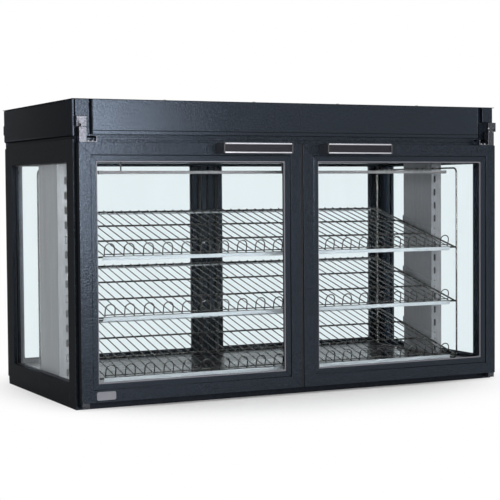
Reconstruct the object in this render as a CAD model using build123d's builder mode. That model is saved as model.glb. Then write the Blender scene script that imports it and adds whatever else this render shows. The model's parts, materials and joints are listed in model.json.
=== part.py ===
from build123d import *
import os
from math import atan, ceil, cos, degrees, radians, sin

# Heated merchandising cabinet, a pass-through case with two doors in front and two behind.
# Origin: centre of the footprint, on the surface that the cabinet stands on.
# X runs along the width, the front looks towards -Y, Z is up. Sizes are in millimetres.

# Overall sizes
body_width = 1232.0
body_depth = 556.0
cabinet_height = 759.0
housing_height = 97.0

# Clearances
seat_gap = 0.3
glass_gap = 0.3
mitre_gap = 0.2
fixed_pin_gap = 0.02
running_gap = 0.08

# Posts and rails, rectangular tubes
tube_wall = 2.0
post_width = 26.0
post_depth = 49.0
lower_rail_height = 61.0
upper_rail_height = 57.0
header_height = 58.0
header_depth = 30.0

# Side glass, held in slots of the tubes
side_glass_thickness = 5.0
side_glass_inset = 10.0
side_glass_hold = 8.0

# Base and floor
base_height = 50.5
base_sheet = 1.5
floor_sheet = 1.5

# Ceiling plate and the deck of the top housing
ceiling_drop = 50.0
ceiling_sheet = 1.5
deck_sheet = 2.0
grille_slots = 14
grille_slot_width = 6.0
grille_slot_length = 70.0
grille_slot_pitch = 14.0

# Top housing
housing_sheet = 1.5
side_panel_proud = 4.0
side_panel_overhang = 6.0
side_return = 5.0
fascia_proud = 12.0
shadow_gap = 7.0
skirt_inset = 6.0
fascia_lift = 11.5
hinge_pocket_width = 43.0
pocket_overlap = 13.0
vent_count = 18
vent_length = 60.0
vent_width = 4.0
vent_pitch = 12.0

# Doors
door_proud = 28.0
door_thickness = 20.0
door_side_inset = 5.5
door_meeting_gap = 7.0
door_bottom = 18.3
door_top_drop = 9.3
band_width = 30.0
bead_width = 15.0
bead_step = 2.5
bead_groove_width = 1.2
bead_groove_depth = 1.6
frame_wall = 2.0
door_glass_thickness = 4.0
door_glass_hold = 6.5
door_glass_setback = 8.0
gasket_width = 10.0
gasket_inset = 18.0
gasket_lip = 2.0
meeting_strip_depth = 12.0
meeting_strip_setback = 4.0

# Door handles, a channel between two end plates
handle_reach = 48.0
handle_length = 188.0
handle_height = 26.0
handle_from_meeting_edge = 47.0
handle_channel_depth = 10.0
handle_lip = 3.5
handle_recess = 3.0
handle_plate = 4.0
handle_round = 1.5

# Hinges, pivots on vertical pins
pivot_inset = 17.0
pivot_proud = 17.0
pin_radius = 4.0
block_side = 19.0
block_height = 37.3
leaf_thickness = 3.0
leaf_length = 47.0
leaf_tab_height = 15.5
bracket_gap = 1.0
bracket_height = 25.0
bracket_width = 25.0
cam_notch_width = 9.0
cam_notch_height = 7.0
cam_notch_depth = 4.0
cover_width = 33.0
cover_side_gap = 2.2
cover_gap = 1.5
lower_bracket_z = 6.0
lower_bracket_thickness = 3.0
block_gap = 0.5
pin_end_gap = 2.0

# Slotted columns, which carry the warm air down
duct_side_gap = 3.5
duct_width = 33.5
duct_depth = 150.0
duct_sheet = 1.5
slot_pitch = 38.1
slot_first_z = 66.3
slot_end_gap = 30.0
slot_width = 7.0
slot_length = 20.5
slot_from_inner_face = 11.0

# Wire shelves, brackets and side guards
slots_per_tier = 4
shelf_floor_gap = 0.5
frame_wire = 5.0
deck_wire = 3.0
wire_flats = 8
weld_sink = 0.4
deck_wire_pitch = 26.4
deck_end_gap = 10.0
cross_wire_count = 4
shelf_from_face = 58.0
shelf_wire_drop = 6.0
strip_height = 10.0
strip_sheet = 1.5
strip_end_gap = 21.7
strip_drop = 3.1
arch_height = 28.0
ledge_width = 17.0
ledge_sheet = 2.0
bracket_rise = 18.0
hook_height = 14.0
hook_width = 4.5
hook_reach = 5.0
guard_wire = 5.0
guard_setback = 6.0
guard_top_drop = 17.5
guard_corner = 14.0
guard_from_duct = 8.5

# Light bar
light_bar_end_gap = 70.0
light_bar_height = 8.0
light_bar_depth = 12.0
light_bar_from_face = 84.0
light_bar_drop = 35.0
light_hanger_sheet = 1.5
light_hanger_depth = 8.0
light_hanger_from_end = 60.0

# Blowers and heating elements
blower_from_end = 336.0
impeller_radius = 74.0
impeller_height = 28.0
impeller_plate = 2.0
impeller_gap = 6.0
blade_count = 10
blade_thickness = 1.5
blade_inner_radius = 42.0
blade_angle = 35.0
ring_width = 14.0
hub_radius = 12.0
shaft_radius = 4.0
motor_radius = 40.0
motor_height = 58.0
motor_foot = 100.0
motor_foot_corner = 10.0
motor_foot_thickness = 4.0
motor_round = 4.0
motor_bore_depth = 33.0
shaft_hole_gap = 3.0
element_tube_radius = 4.0
element_radius = 98.0
element_sweep = 320.0
element_leg_radius = 5.0
element_plate = 2.0
element_plate_margin = 9.0
element_leg_gap = 0.4
element_leg_rise = 14.0

# Controls on the rear fascia
controls_drop = 43.0
knob_from_end = 143.0
knob_radius = 18.0
knob_height = 16.0
knob_base = 8.0
knob_taper = 6.0
knob_grip = 5.0
spindle_radius = 3.0
spindle_hole_gap = 0.5
thermostat_side = 44.0
thermostat_depth = 30.0
thermostat_bore_depth = 15.0
switch_from_end = 73.0
switch_half_width = 11.0
switch_half_height = 14.0
switch_depth = 24.0
switch_wall = 2.5
bezel_margin = 2.5
bezel_thickness = 2.0
rocker_gap = 0.5
rocker_tip_gap = 1.0
rocker_tilt = 9.0
rocker_crown = 4.0
rocker_root = 3.0
trunnion_radius = 1.2
trunnion_length = 1.4
gland_from_end = 73.0
gland_thread_radius = 10.0
gland_thread_length = 16.0
gland_nut_radius = 15.0
gland_nut_thickness = 6.0
gland_dome_radius = 13.0
gland_dome_length = 16.0
gland_dome_taper = 18.0
terminal_length = 60.0
terminal_width = 24.0
terminal_height = 20.0
terminal_wire_gap = 24.0

# Derived places
half_width = body_width / 2
half_depth = body_depth / 2
body_top = cabinet_height - housing_height
ceiling_z = body_top - ceiling_drop
door_top = body_top - door_top_drop
block_top = door_top + block_height
bracket_bottom = block_top + bracket_gap
bracket_top = bracket_bottom + bracket_height
cover_bottom = bracket_top + cover_gap
side_inner_x = half_width - post_width
post_inner_y = half_depth - post_depth
side_glass_x = half_width - side_glass_inset
upper_rail_z = body_top - upper_rail_height
header_z = body_top - header_height
floor_top = base_height + floor_sheet
deck_z = body_top
deck_top = deck_z + deck_sheet
cover_z = cabinet_height - housing_sheet
housing_z = body_top + shadow_gap
fascia_z = body_top + fascia_lift
fascia_half_width = half_width - hinge_pocket_width
fascia_y = half_depth + fascia_proud
side_panel_x = half_width + side_panel_proud
side_panel_inner_x = side_panel_x - housing_sheet
side_panel_y = half_depth + side_panel_overhang
door_front_y = half_depth + door_proud
door_back_y = door_front_y - door_thickness
door_outer_x = half_width - door_side_inset
door_inner_x = door_meeting_gap / 2
frame_width = band_width + bead_width
pivot_x = half_width - pivot_inset
pivot_y = half_depth + pivot_proud
duct_outer_x = side_inner_x - duct_side_gap
duct_inner_x = duct_outer_x - duct_width
guard_x = duct_inner_x - guard_from_duct
guard_inner_x = guard_x - guard_wire / 2
guard_top_z = ceiling_z - guard_top_drop
shelf_half_length = guard_inner_x - seat_gap
shelf_half_depth = half_depth - shelf_from_face
side_wire_x = shelf_half_length - frame_wire / 2
guard_y = shelf_half_depth - guard_setback
slot_count = int((ceiling_z - slot_end_gap - slot_first_z) / slot_pitch) + 1
deck_wire_count = 2 * round((side_wire_x - deck_end_gap) / deck_wire_pitch)
blower_x = half_width - blower_from_end
controls_z = cabinet_height - controls_drop
knob_x = fascia_half_width - knob_from_end
switch_x = fascia_half_width - switch_from_end
gland_x = -fascia_half_width + gland_from_end


def block(x, y, z, mode=Mode.ADD):
    """Add a rectangular block between two limits on each axis to the part being built."""
    with Locations(((x[0] + x[1]) / 2, (y[0] + y[1]) / 2, (z[0] + z[1]) / 2)):
        Box(x[1] - x[0], y[1] - y[0], z[1] - z[0], mode=mode)


def in_all_corners():
    """Repeat the front left piece being built in the other three corners."""
    mirror(about=Plane.YZ)
    mirror(about=Plane.XZ)


def save(part, name):
    part.label = name
    export_step(part, f"parts/{name}.step")


def in_quarter(part, right, rear):
    """A copy of a front left piece for one of the four doors."""
    if right:
        part = mirror(part, about=Plane.YZ)
    if rear:
        part = mirror(part, about=Plane.XZ)
    return part


def mitred_lengths(x, z, back_y, section, hollow=None):
    """Four lengths mitred round an opening in the front wall.

    x and z are the outer limits. The section's points run inward from the outer edge
    and forward from back_y. The lengths stop half a mitre_gap short of each mitre.
    """
    reach = max(inward for inward, forward in section)
    depth = max(forward for inward, forward in section)
    shy = mitre_gap / 2
    with BuildPart() as upright:
        with BuildSketch(Plane.XY.offset(z[0])):
            Polygon(*[(x[0] + inward, back_y - forward) for inward, forward in section], align=None)
            if hollow:
                Polygon(
                    *[(x[0] + inward, back_y - forward) for inward, forward in hollow],
                    align=None,
                    mode=Mode.SUBTRACT,
                )
        extrude(amount=z[1] - z[0])
        with BuildSketch(Plane.XZ.offset(-back_y)):
            Polygon(
                (x[0], z[0] + shy),
                (x[0], z[1] - shy),
                (x[0] + reach, z[1] - reach - shy),
                (x[0] + reach, z[0] + reach + shy),
                align=None,
            )
        extrude(amount=depth, mode=Mode.INTERSECT)
    with BuildPart() as level:
        with BuildSketch(Plane.YZ.offset(x[0])):
            Polygon(*[(back_y - forward, z[0] + inward) for inward, forward in section], align=None)
            if hollow:
                Polygon(
                    *[(back_y - forward, z[0] + inward) for inward, forward in hollow],
                    align=None,
                    mode=Mode.SUBTRACT,
                )
        extrude(amount=x[1] - x[0])
        with BuildSketch(Plane.XZ.offset(-back_y)):
            Polygon(
                (x[0] + shy, z[0]),
                (x[1] - shy, z[0]),
                (x[1] - reach - shy, z[0] + reach),
                (x[0] + reach + shy, z[0] + reach),
                align=None,
            )
        extrude(amount=depth, mode=Mode.INTERSECT)
    middle_x = (x[0] + x[1]) / 2
    middle_z = (z[0] + z[1]) / 2
    with BuildPart() as lengths:
        add(upright.part)
        add(mirror(upright.part, about=Plane.YZ.offset(middle_x), mode=Mode.PRIVATE))
        add(level.part)
        add(mirror(level.part, about=Plane.XY.offset(middle_z), mode=Mode.PRIVATE))
    return lengths.part


os.makedirs("parts", exist_ok=True)

# Base pan, a tray under the floor
with BuildPart() as base_pan:
    block((-side_inner_x, side_inner_x), (-half_depth, half_depth), (0, base_height))
    block(
        (-side_inner_x + base_sheet, side_inner_x - base_sheet),
        (-half_depth + base_sheet, half_depth - base_sheet),
        (base_sheet, base_height),
        mode=Mode.SUBTRACT,
    )
save(base_pan.part, "base_pan")

# Floor plate of the warm space
with BuildPart() as floor_plate:
    block((-side_inner_x, side_inner_x), (-half_depth, half_depth), (base_height, floor_top))
save(floor_plate.part, "floor_plate")

# Corner posts, tubes with a slot for the side glass
glass_slot = (side_glass_x - side_glass_thickness - glass_gap, side_glass_x + glass_gap)
glass_low_z = lower_rail_height - side_glass_hold
glass_high_z = upper_rail_z + side_glass_hold
glass_half_depth = post_inner_y + side_glass_hold
with BuildPart() as corner_posts:
    block((-half_width, -side_inner_x), (-half_depth, -post_inner_y), (0, body_top))
    block(
        (-half_width + tube_wall, -side_inner_x - tube_wall),
        (-half_depth + tube_wall, -post_inner_y - tube_wall),
        (0, body_top),
        mode=Mode.SUBTRACT,
    )
    block(
        (-glass_slot[1], -glass_slot[0]),
        (-post_inner_y - tube_wall, -post_inner_y),
        (glass_low_z - glass_gap, glass_high_z + glass_gap),
        mode=Mode.SUBTRACT,
    )
    in_all_corners()
save(corner_posts.part, "corner_posts")

# Side rails between the posts, with the same slot in the edge that meets the glass
for name, low, high, slot_edge in (
    ("side_lower_rails", 0, lower_rail_height, lower_rail_height - tube_wall),
    ("side_upper_rails", upper_rail_z, body_top, upper_rail_z),
):
    with BuildPart() as side_rails:
        block((-half_width, -side_inner_x), (-post_inner_y, post_inner_y), (low, high))
        block(
            (-half_width + tube_wall, -side_inner_x - tube_wall),
            (-post_inner_y, post_inner_y),
            (low + tube_wall, high - tube_wall),
            mode=Mode.SUBTRACT,
        )
        block(
            (-glass_slot[1], -glass_slot[0]),
            (-post_inner_y, post_inner_y),
            (slot_edge, slot_edge + tube_wall),
            mode=Mode.SUBTRACT,
        )
        mirror(about=Plane.YZ)
    save(side_rails.part, name)

# Side glasses
with BuildPart() as side_glasses:
    block(
        (-side_glass_x, -side_glass_x + side_glass_thickness),
        (-glass_half_depth, glass_half_depth),
        (glass_low_z, glass_high_z),
    )
    mirror(about=Plane.YZ)
save(side_glasses.part, "side_glasses")

# Headers above the doors, front and rear
with BuildPart() as door_headers:
    block((-side_inner_x, side_inner_x), (-half_depth, -half_depth + header_depth), (header_z, body_top))
    block(
        (-side_inner_x, side_inner_x),
        (-half_depth + tube_wall, -half_depth + header_depth - tube_wall),
        (header_z + tube_wall, body_top - tube_wall),
        mode=Mode.SUBTRACT,
    )
    mirror(about=Plane.XZ)
save(door_headers.part, "door_headers")

# Slotted columns, open at the top into the plenum
duct_half_depth = duct_depth / 2
slot_x = duct_inner_x + slot_from_inner_face
slot_middle_z = slot_first_z + (slot_count - 1) * slot_pitch / 2
with BuildPart() as air_ducts:
    block((duct_inner_x, duct_outer_x), (-duct_half_depth, duct_half_depth), (floor_top, ceiling_z))
    block(
        (duct_inner_x + duct_sheet, duct_outer_x - duct_sheet),
        (-duct_half_depth + duct_sheet, duct_half_depth - duct_sheet),
        (floor_top, ceiling_z),
        mode=Mode.SUBTRACT,
    )
    with BuildSketch(Plane.XZ.offset(-duct_half_depth)):
        with Locations((slot_x, slot_middle_z)):
            with GridLocations(slot_width, slot_pitch, 1, slot_count):
                SlotOverall(slot_length, slot_width, rotation=90)
    extrude(amount=duct_depth, mode=Mode.SUBTRACT)
    mirror(about=Plane.YZ)
save(air_ducts.part, "air_ducts")

# Ceiling plate with its inlet grilles and an outlet above each column
ceiling_half_depth = half_depth - header_depth
with BuildPart() as ceiling_plate:
    with BuildSketch(Plane.XY.offset(ceiling_z)):
        Rectangle(2 * side_inner_x, 2 * ceiling_half_depth)
        with Locations((-blower_x, 0), (blower_x, 0)):
            with GridLocations(grille_slot_pitch, 1, grille_slots, 1):
                SlotOverall(grille_slot_length, grille_slot_width, rotation=90, mode=Mode.SUBTRACT)
        duct_middle_x = (duct_inner_x + duct_outer_x) / 2
        with Locations((-duct_middle_x, 0), (duct_middle_x, 0)):
            Rectangle(duct_width - 2 * duct_sheet, duct_depth - 2 * duct_sheet, mode=Mode.SUBTRACT)
    extrude(amount=ceiling_sheet)
save(ceiling_plate.part, "ceiling_plate")

# Housing deck, which closes the plenum and carries the motors
with BuildPart() as housing_deck:
    with BuildSketch(Plane.XY.offset(deck_z)):
        Rectangle(2 * (half_width - skirt_inset), body_depth)
        with Locations((-blower_x, 0), (blower_x, 0)):
            Circle(shaft_radius + shaft_hole_gap, mode=Mode.SUBTRACT)
            with PolarLocations(element_radius, 2, -element_sweep / 2, element_sweep, endpoint=True):
                Circle(element_leg_radius + element_leg_gap, mode=Mode.SUBTRACT)
    extrude(amount=deck_sheet)
save(housing_deck.part, "housing_deck")

# Side panels of the top housing: outer sheet with its end returns, bottom return, inner skirt
# and the walls of the hinge pockets
skirt_x = half_width - skirt_inset
with BuildPart() as housing_sides:
    block((-side_panel_x, -side_panel_inner_x), (-side_panel_y, side_panel_y), (housing_z, cover_z))
    for return_y in (-side_panel_y, side_panel_y - housing_sheet):
        block(
            (-side_panel_x, -side_panel_x + side_return),
            (return_y, return_y + housing_sheet),
            (housing_z, cover_z),
        )
    block(
        (-side_panel_x, -skirt_x + housing_sheet),
        (-half_depth, half_depth),
        (housing_z, housing_z + housing_sheet),
    )
    block(
        (-skirt_x, -skirt_x + housing_sheet),
        (-half_depth, half_depth),
        (deck_top, housing_z + housing_sheet),
    )
    for wall_y in (-half_depth, half_depth - housing_sheet):
        block(
            (-side_panel_x, -fascia_half_width + pocket_overlap),
            (wall_y, wall_y + housing_sheet),
            (housing_z, cover_z),
        )
    mirror(about=Plane.YZ)
save(housing_sides.part, "housing_sides")

# Top cover with vent slots over the motors
with BuildPart() as top_cover:
    with BuildSketch(Plane.XY.offset(cover_z)):
        Rectangle(2 * side_panel_x, 2 * fascia_y)
        with Locations((-blower_x, 0), (blower_x, 0)):
            with GridLocations(vent_pitch, 1, vent_count, 1):
                SlotOverall(vent_length, vent_width, rotation=90, mode=Mode.SUBTRACT)
    extrude(amount=housing_sheet)
save(top_cover.part, "top_cover")


def fascia_sheet():
    """Add the folded front sheet: face, top return, bottom return and the recess wall below it."""
    inner_y = -half_depth
    block(
        (-fascia_half_width, fascia_half_width),
        (-fascia_y, -fascia_y + housing_sheet),
        (fascia_z, cover_z),
    )
    block(
        (-fascia_half_width, fascia_half_width),
        (-fascia_y, inner_y),
        (cover_z - housing_sheet, cover_z),
    )
    block(
        (-fascia_half_width, fascia_half_width),
        (-fascia_y, inner_y),
        (fascia_z, fascia_z + housing_sheet),
    )
    recess = fascia_half_width - pocket_overlap - seat_gap
    block(
        (-recess, recess),
        (inner_y - seat_gap, inner_y + housing_sheet),
        (deck_top, fascia_z + housing_sheet),
    )
    for end_x in (-fascia_half_width, fascia_half_width - housing_sheet):
        block((end_x, end_x + housing_sheet), (-fascia_y, inner_y), (fascia_z, cover_z))


# Front fascia
with BuildPart() as front_fascia:
    fascia_sheet()
save(front_fascia.part, "front_fascia")

# Rear fascia, the front one turned round, with holes for the controls and the gland
switch_hole = (switch_half_width + seat_gap, switch_half_height + seat_gap)
with BuildPart() as rear_fascia:
    add(mirror(front_fascia.part, about=Plane.XZ, mode=Mode.PRIVATE))
    with BuildSketch(Plane.XZ.offset(-fascia_y)):
        with Locations((knob_x, controls_z)):
            Circle(spindle_radius + spindle_hole_gap)
        with Locations((switch_x, controls_z)):
            Rectangle(2 * switch_hole[0], 2 * switch_hole[1])
        with Locations((gland_x, controls_z)):
            Circle(gland_thread_radius + seat_gap)
    extrude(amount=housing_sheet, mode=Mode.SUBTRACT)
save(rear_fascia.part, "rear_fascia")

# Hinge cover plates, one above each hinge, folded back to the pocket wall
cover_left_x = -side_panel_x + side_return + cover_side_gap
cover_x = (cover_left_x, cover_left_x + cover_width)
with BuildPart() as hinge_covers:
    block(cover_x, (-fascia_y, -half_depth), (cover_bottom, cover_z))
    block(
        (cover_x[0] + housing_sheet, cover_x[1] - housing_sheet),
        (-fascia_y + housing_sheet, -half_depth),
        (cover_bottom, cover_z - housing_sheet),
        mode=Mode.SUBTRACT,
    )
    in_all_corners()
save(hinge_covers.part, "hinge_covers")

# Fixed hinge brackets: the upper ones hang over the doors' hinge blocks, the lower ones are under the doors
block_half = block_side / 2
upper_bracket_x = (-pivot_x + block_half - bracket_width, -pivot_x + block_half)
lower_pin_y = (-pivot_y - block_half, -half_depth)
with BuildPart() as hinge_brackets:
    block(upper_bracket_x, (-pivot_y - block_half, -half_depth), (bracket_bottom, bracket_top))
    block(
        (upper_bracket_x[0] + tube_wall, upper_bracket_x[0] + tube_wall + cam_notch_width),
        (-pivot_y - block_half, -pivot_y - block_half + cam_notch_depth),
        (bracket_bottom, bracket_bottom + cam_notch_height),
        mode=Mode.SUBTRACT,
    )
    block(
        (-pivot_x - block_half, -pivot_x + block_half),
        lower_pin_y,
        (lower_bracket_z, lower_bracket_z + lower_bracket_thickness),
    )
    with BuildSketch(Plane.XY):
        with Locations((-pivot_x, -pivot_y)):
            Circle(pin_radius + fixed_pin_gap)
    extrude(amount=bracket_top, mode=Mode.SUBTRACT)
    in_all_corners()
save(hinge_brackets.part, "hinge_brackets")

# Hinge pins, held by the brackets
shoe_bottom = lower_bracket_z + lower_bracket_thickness + block_gap
upper_pin_z = (door_top + leaf_thickness + pin_end_gap, bracket_top)
lower_pin_z = (lower_bracket_z, door_bottom - pin_end_gap)
with BuildPart() as hinge_pins:
    for low, high in (upper_pin_z, lower_pin_z):
        with BuildSketch(Plane.XY.offset(low)):
            with Locations((-pivot_x, -pivot_y)):
                Circle(pin_radius)
        extrude(amount=high - low)
    in_all_corners()
save(hinge_pins.part, "hinge_pins")


# Slope of the shelves, from the height of one slot between the front and the rear hooks
frame_radius = frame_wire / 2
hook_y = duct_half_depth + seat_gap + ledge_sheet / 2
shelf_slope = slot_pitch / (2 * hook_y)
ledge_top = slot_first_z - shelf_wire_drop - frame_radius


def seat(level):
    """Where a shelf that is drawn level over the lowest slot lies on its brackets."""
    tilt = Rot(degrees(atan(shelf_slope)), 0, 0)
    return Pos(0, -hook_y, ledge_top + level * slot_pitch) * tilt * Pos(0, hook_y, -ledge_top)


# A shelf's level is the slot of its front hooks, counted from the lowest, and its rear hooks take
# the next one up. The lower shelf takes the lowest at which its front strip clears the floor plate.
frame_z = slot_first_z - shelf_wire_drop
strip_top = frame_z - strip_drop + strip_height / 2
front_drop = (shelf_half_depth + strip_sheet - hook_y) * sin(atan(shelf_slope))
strip_low = ledge_top - front_drop - (ledge_top - strip_top + strip_height) * cos(atan(shelf_slope))
lower_level = ceil((floor_top + shelf_floor_gap - strip_low) / slot_pitch)
shelf_levels = {
    name: lower_level + tier * slots_per_tier for tier, name in enumerate(("lower", "middle", "upper"))
}


# Wire shelf, drawn level: side wires, cross wires and the deck wires welded on them.
# The wires are drawn with flats, which keeps their many crossings simple.
deck_radius = deck_wire / 2
deck_wire_z = frame_z + frame_radius + deck_radius - weld_sink
wire_half_depth = shelf_half_depth - frame_radius
half_flat = 180 / wire_flats
with BuildPart() as shelf_wires:
    with BuildSketch(Plane.XZ.offset(-wire_half_depth)):
        with Locations((-side_wire_x, frame_z), (side_wire_x, frame_z)):
            RegularPolygon(frame_radius, wire_flats, major_radius=False, rotation=half_flat)
        with Locations((0, deck_wire_z)):
            with GridLocations(deck_wire_pitch, 1, deck_wire_count, 1):
                RegularPolygon(deck_radius, wire_flats, major_radius=False, rotation=half_flat)
    extrude(amount=2 * wire_half_depth)
    with BuildSketch(Plane.YZ.offset(-shelf_half_length)):
        with Locations((0, frame_z)):
            with GridLocations(2 * wire_half_depth / (cross_wire_count - 1), 1, cross_wire_count, 1):
                RegularPolygon(frame_radius, wire_flats, major_radius=False, rotation=half_flat)
    extrude(amount=2 * shelf_half_length)
for name, level in shelf_levels.items():
    shelf = seat(level) * shelf_wires.part
    save(shelf, f"{name}_shelf")

# Sheet strips along the front and rear edge of each shelf
strip_half = shelf_half_length - strip_end_gap
with BuildPart() as strip_pair:
    block(
        (-strip_half, strip_half),
        (-shelf_half_depth - strip_sheet, -shelf_half_depth),
        (strip_top - strip_height, strip_top),
    )
    mirror(about=Plane.XZ)
with BuildPart() as shelf_strips:
    with Locations(*[seat(level) for level in shelf_levels.values()]):
        add(strip_pair.part)
save(shelf_strips.part, "shelf_strips")

# Rows of wire arches that stop the goods at the front of each shelf
arch_half = deck_wire_pitch / 2
arch_z = deck_wire_z + deck_radius + deck_radius
arch_y = -wire_half_depth + deck_radius
arch_top = arch_z + arch_height - arch_half
row_half = (deck_wire_count - 1) * deck_wire_pitch / 2
with BuildPart() as arch:
    with BuildLine(Plane.XZ.offset(-arch_y)) as arch_path:
        Line((-arch_half, arch_z), (-arch_half, arch_top))
        ThreePointArc((-arch_half, arch_top), (0, arch_top + arch_half), (arch_half, arch_top))
        Line((arch_half, arch_top), (arch_half, arch_z))
    with BuildSketch(Plane.XY.offset(arch_z)):
        with Locations((-arch_half, arch_y)):
            Circle(deck_radius)
    sweep(path=arch_path.wire())
with BuildPart() as arch_row:
    with BuildSketch(Plane.YZ.offset(-row_half)):
        with Locations((arch_y, arch_z)):
            Circle(deck_radius)
    extrude(amount=2 * row_half)
    with GridLocations(2 * deck_wire_pitch, 1, deck_wire_count // 2, 1):
        add(arch.part)
with BuildPart() as shelf_stops:
    with Locations(*[seat(level) for level in shelf_levels.values()]):
        add(arch_row.part)
save(shelf_stops.part, "shelf_stops")

# Shelf brackets: a sloping ledge on each column's inner face, with ears that hook in the slots
bracket_low = ledge_top - ledge_sheet
bracket_high = bracket_low + bracket_rise
hook_z = (slot_first_z - hook_height / 2, slot_first_z + hook_height / 2)
hook_x = (slot_x - hook_width / 2, slot_x + hook_width / 2)
ear_y = (-hook_y - ledge_sheet / 2, -hook_y + ledge_sheet / 2)
face_x = duct_inner_x - seat_gap


def sloping_plate(x, z):
    """Add a plate between two limits on X that rises to the rear; z holds at the front hooks."""
    middle_rise = slot_pitch / 2
    end_rise = -ear_y[0] * shelf_slope
    with BuildSketch(Plane.YZ.offset(x[0])) as side:
        Polygon(
            (ear_y[0], z[0] + middle_rise - end_rise),
            (-ear_y[0], z[0] + middle_rise + end_rise),
            (-ear_y[0], z[1] + middle_rise + end_rise),
            (ear_y[0], z[1] + middle_rise - end_rise),
            align=None,
        )
    extrude(side.sketch, amount=x[1] - x[0])


with BuildPart() as shelf_bracket:
    sloping_plate((face_x - ledge_width, face_x), (bracket_low, ledge_top))
    sloping_plate((face_x - ledge_sheet, face_x), (bracket_low, bracket_high))
    for face, rise in ((1, 0), (-1, slot_pitch)):
        ear = sorted(face * y for y in ear_y)
        hook = sorted(face * y for y in (ear_y[0], ear_y[1] + hook_reach))
        block((face_x - ledge_sheet, hook_x[1]), ear, (hook_z[0] + rise, bracket_high + rise))
        block(hook_x, hook, (hook_z[0] + rise, hook_z[1] + rise))
with BuildPart() as shelf_brackets:
    with Locations(*[(0, 0, level * slot_pitch) for level in shelf_levels.values()]):
        add(shelf_bracket.part)
    mirror(about=Plane.YZ)
save(shelf_brackets.part, "shelf_brackets")

# Side guards, closed wire loops that keep the goods off the side glass
guard_radius = guard_wire / 2
guard_low = floor_top + guard_radius
guard_high = guard_top_z - guard_radius
guard_middle = (guard_low + guard_high) / 2
with BuildPart() as side_guards:
    with BuildLine(Plane.YZ.offset(guard_x)) as guard_path:
        FilletPolyline(
            (guard_y, guard_middle),
            (guard_y, guard_high),
            (-guard_y, guard_high),
            (-guard_y, guard_middle),
            radius=guard_corner,
        )
    with BuildSketch(Plane.XY.offset(guard_middle)):
        with Locations((guard_x, guard_y)):
            Circle(guard_radius)
    sweep(path=guard_path.wire())
    mirror(about=Plane.XY.offset(guard_middle))
    mirror(about=Plane.YZ)
save(side_guards.part, "side_guards")

# Light bar under the ceiling, with thin hangers
light_bar_y = -half_depth + light_bar_from_face
light_bar_z = ceiling_z - light_bar_drop
light_top = light_bar_z + light_bar_height
light_half = side_inner_x - light_bar_end_gap
hanger_x = light_half - light_hanger_from_end
with BuildPart() as light_bar:
    block(
        (-light_half, light_half),
        (light_bar_y - light_bar_depth / 2, light_bar_y + light_bar_depth / 2),
        (light_bar_z, light_top),
    )
    for centre_x in (-hanger_x, 0, hanger_x):
        block(
            (centre_x - light_hanger_sheet / 2, centre_x + light_hanger_sheet / 2),
            (light_bar_y - light_hanger_depth / 2, light_bar_y + light_hanger_depth / 2),
            (light_top, ceiling_z),
        )
save(light_bar.part, "light_bar")

# Blower motors on the deck, each with a foot plate and a bore for its shaft
with BuildPart() as blower_motors:
    with BuildSketch(Plane.XY.offset(deck_top)):
        with Locations((-blower_x, 0)):
            RectangleRounded(motor_foot, motor_foot, motor_foot_corner)
    extrude(amount=motor_foot_thickness)
    with BuildSketch(Plane.XY.offset(deck_top + motor_foot_thickness)):
        with Locations((-blower_x, 0)):
            Circle(motor_radius)
    extrude(amount=motor_height)
    fillet(blower_motors.edges().group_by(Axis.Z)[-1], radius=motor_round)
    with BuildSketch(Plane.XY.offset(deck_top)):
        with Locations((-blower_x, 0)):
            Circle(shaft_radius + running_gap)
    extrude(amount=motor_bore_depth, mode=Mode.SUBTRACT)
    mirror(about=Plane.YZ)
save(blower_motors.part, "blower_motors")

# Blower impellers: back plate, hub, leaning blades, inlet ring and shaft
impeller_top = deck_z - impeller_gap
impeller_low = impeller_top - impeller_height
blade_middle = (blade_inner_radius + impeller_radius) / 2
blade_length = (impeller_radius - blade_inner_radius) / cos(radians(blade_angle))
with BuildPart() as impeller:
    with BuildSketch(Plane.XY.offset(impeller_top - impeller_plate)):
        Circle(impeller_radius)
    extrude(amount=impeller_plate)
    with BuildSketch(Plane.XY.offset(impeller_low)):
        with PolarLocations(blade_middle, blade_count):
            Rectangle(blade_length, blade_thickness, rotation=blade_angle)
        Circle(impeller_radius, mode=Mode.INTERSECT)
    extrude(amount=impeller_height - impeller_plate)
    with BuildSketch(Plane.XY.offset(impeller_low)):
        Circle(impeller_radius)
        Circle(impeller_radius - ring_width, mode=Mode.SUBTRACT)
    extrude(amount=impeller_plate)
    with BuildSketch(Plane.XY.offset(impeller_low)):
        Circle(hub_radius)
    extrude(amount=impeller_height)
    with BuildSketch(Plane.XY.offset(impeller_top)):
        Circle(shaft_radius)
    extrude(amount=impeller_gap + deck_sheet + motor_bore_depth - pin_end_gap)
for name, centre_x in (("left", -blower_x), ("right", blower_x)):
    save(Pos(centre_x, 0, 0) * impeller.part, f"{name}_blower_impeller")

# Heating elements: an open ring round each impeller, with thicker legs up through the deck to a plate
element_z = (impeller_low + impeller_top) / 2
leg_low = element_z - element_leg_radius
leg_top = deck_top + element_plate + element_leg_rise
leg_x = element_radius * cos(radians(element_sweep / 2))
leg_y = element_radius * sin(radians(element_sweep / 2))
with BuildPart() as element:
    with BuildLine(Plane.XY.offset(element_z)):
        ring = CenterArc((0, 0), element_radius, -element_sweep / 2, element_sweep)
    with BuildSketch(Plane(origin=ring @ 0, z_dir=ring % 0)):
        Circle(element_tube_radius)
    sweep()
    with BuildSketch(Plane.XY.offset(leg_low)):
        with Locations((leg_x, -leg_y), (leg_x, leg_y)):
            Circle(element_leg_radius)
    extrude(amount=leg_top - leg_low)
    block(
        (leg_x - element_plate_margin, leg_x + element_plate_margin),
        (-leg_y - element_plate_margin, leg_y + element_plate_margin),
        (deck_top, deck_top + element_plate),
    )
with BuildPart() as heating_elements:
    with Locations((-blower_x, 0), (blower_x, 0)):
        add(element.part)
save(heating_elements.part, "heating_elements")

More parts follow.
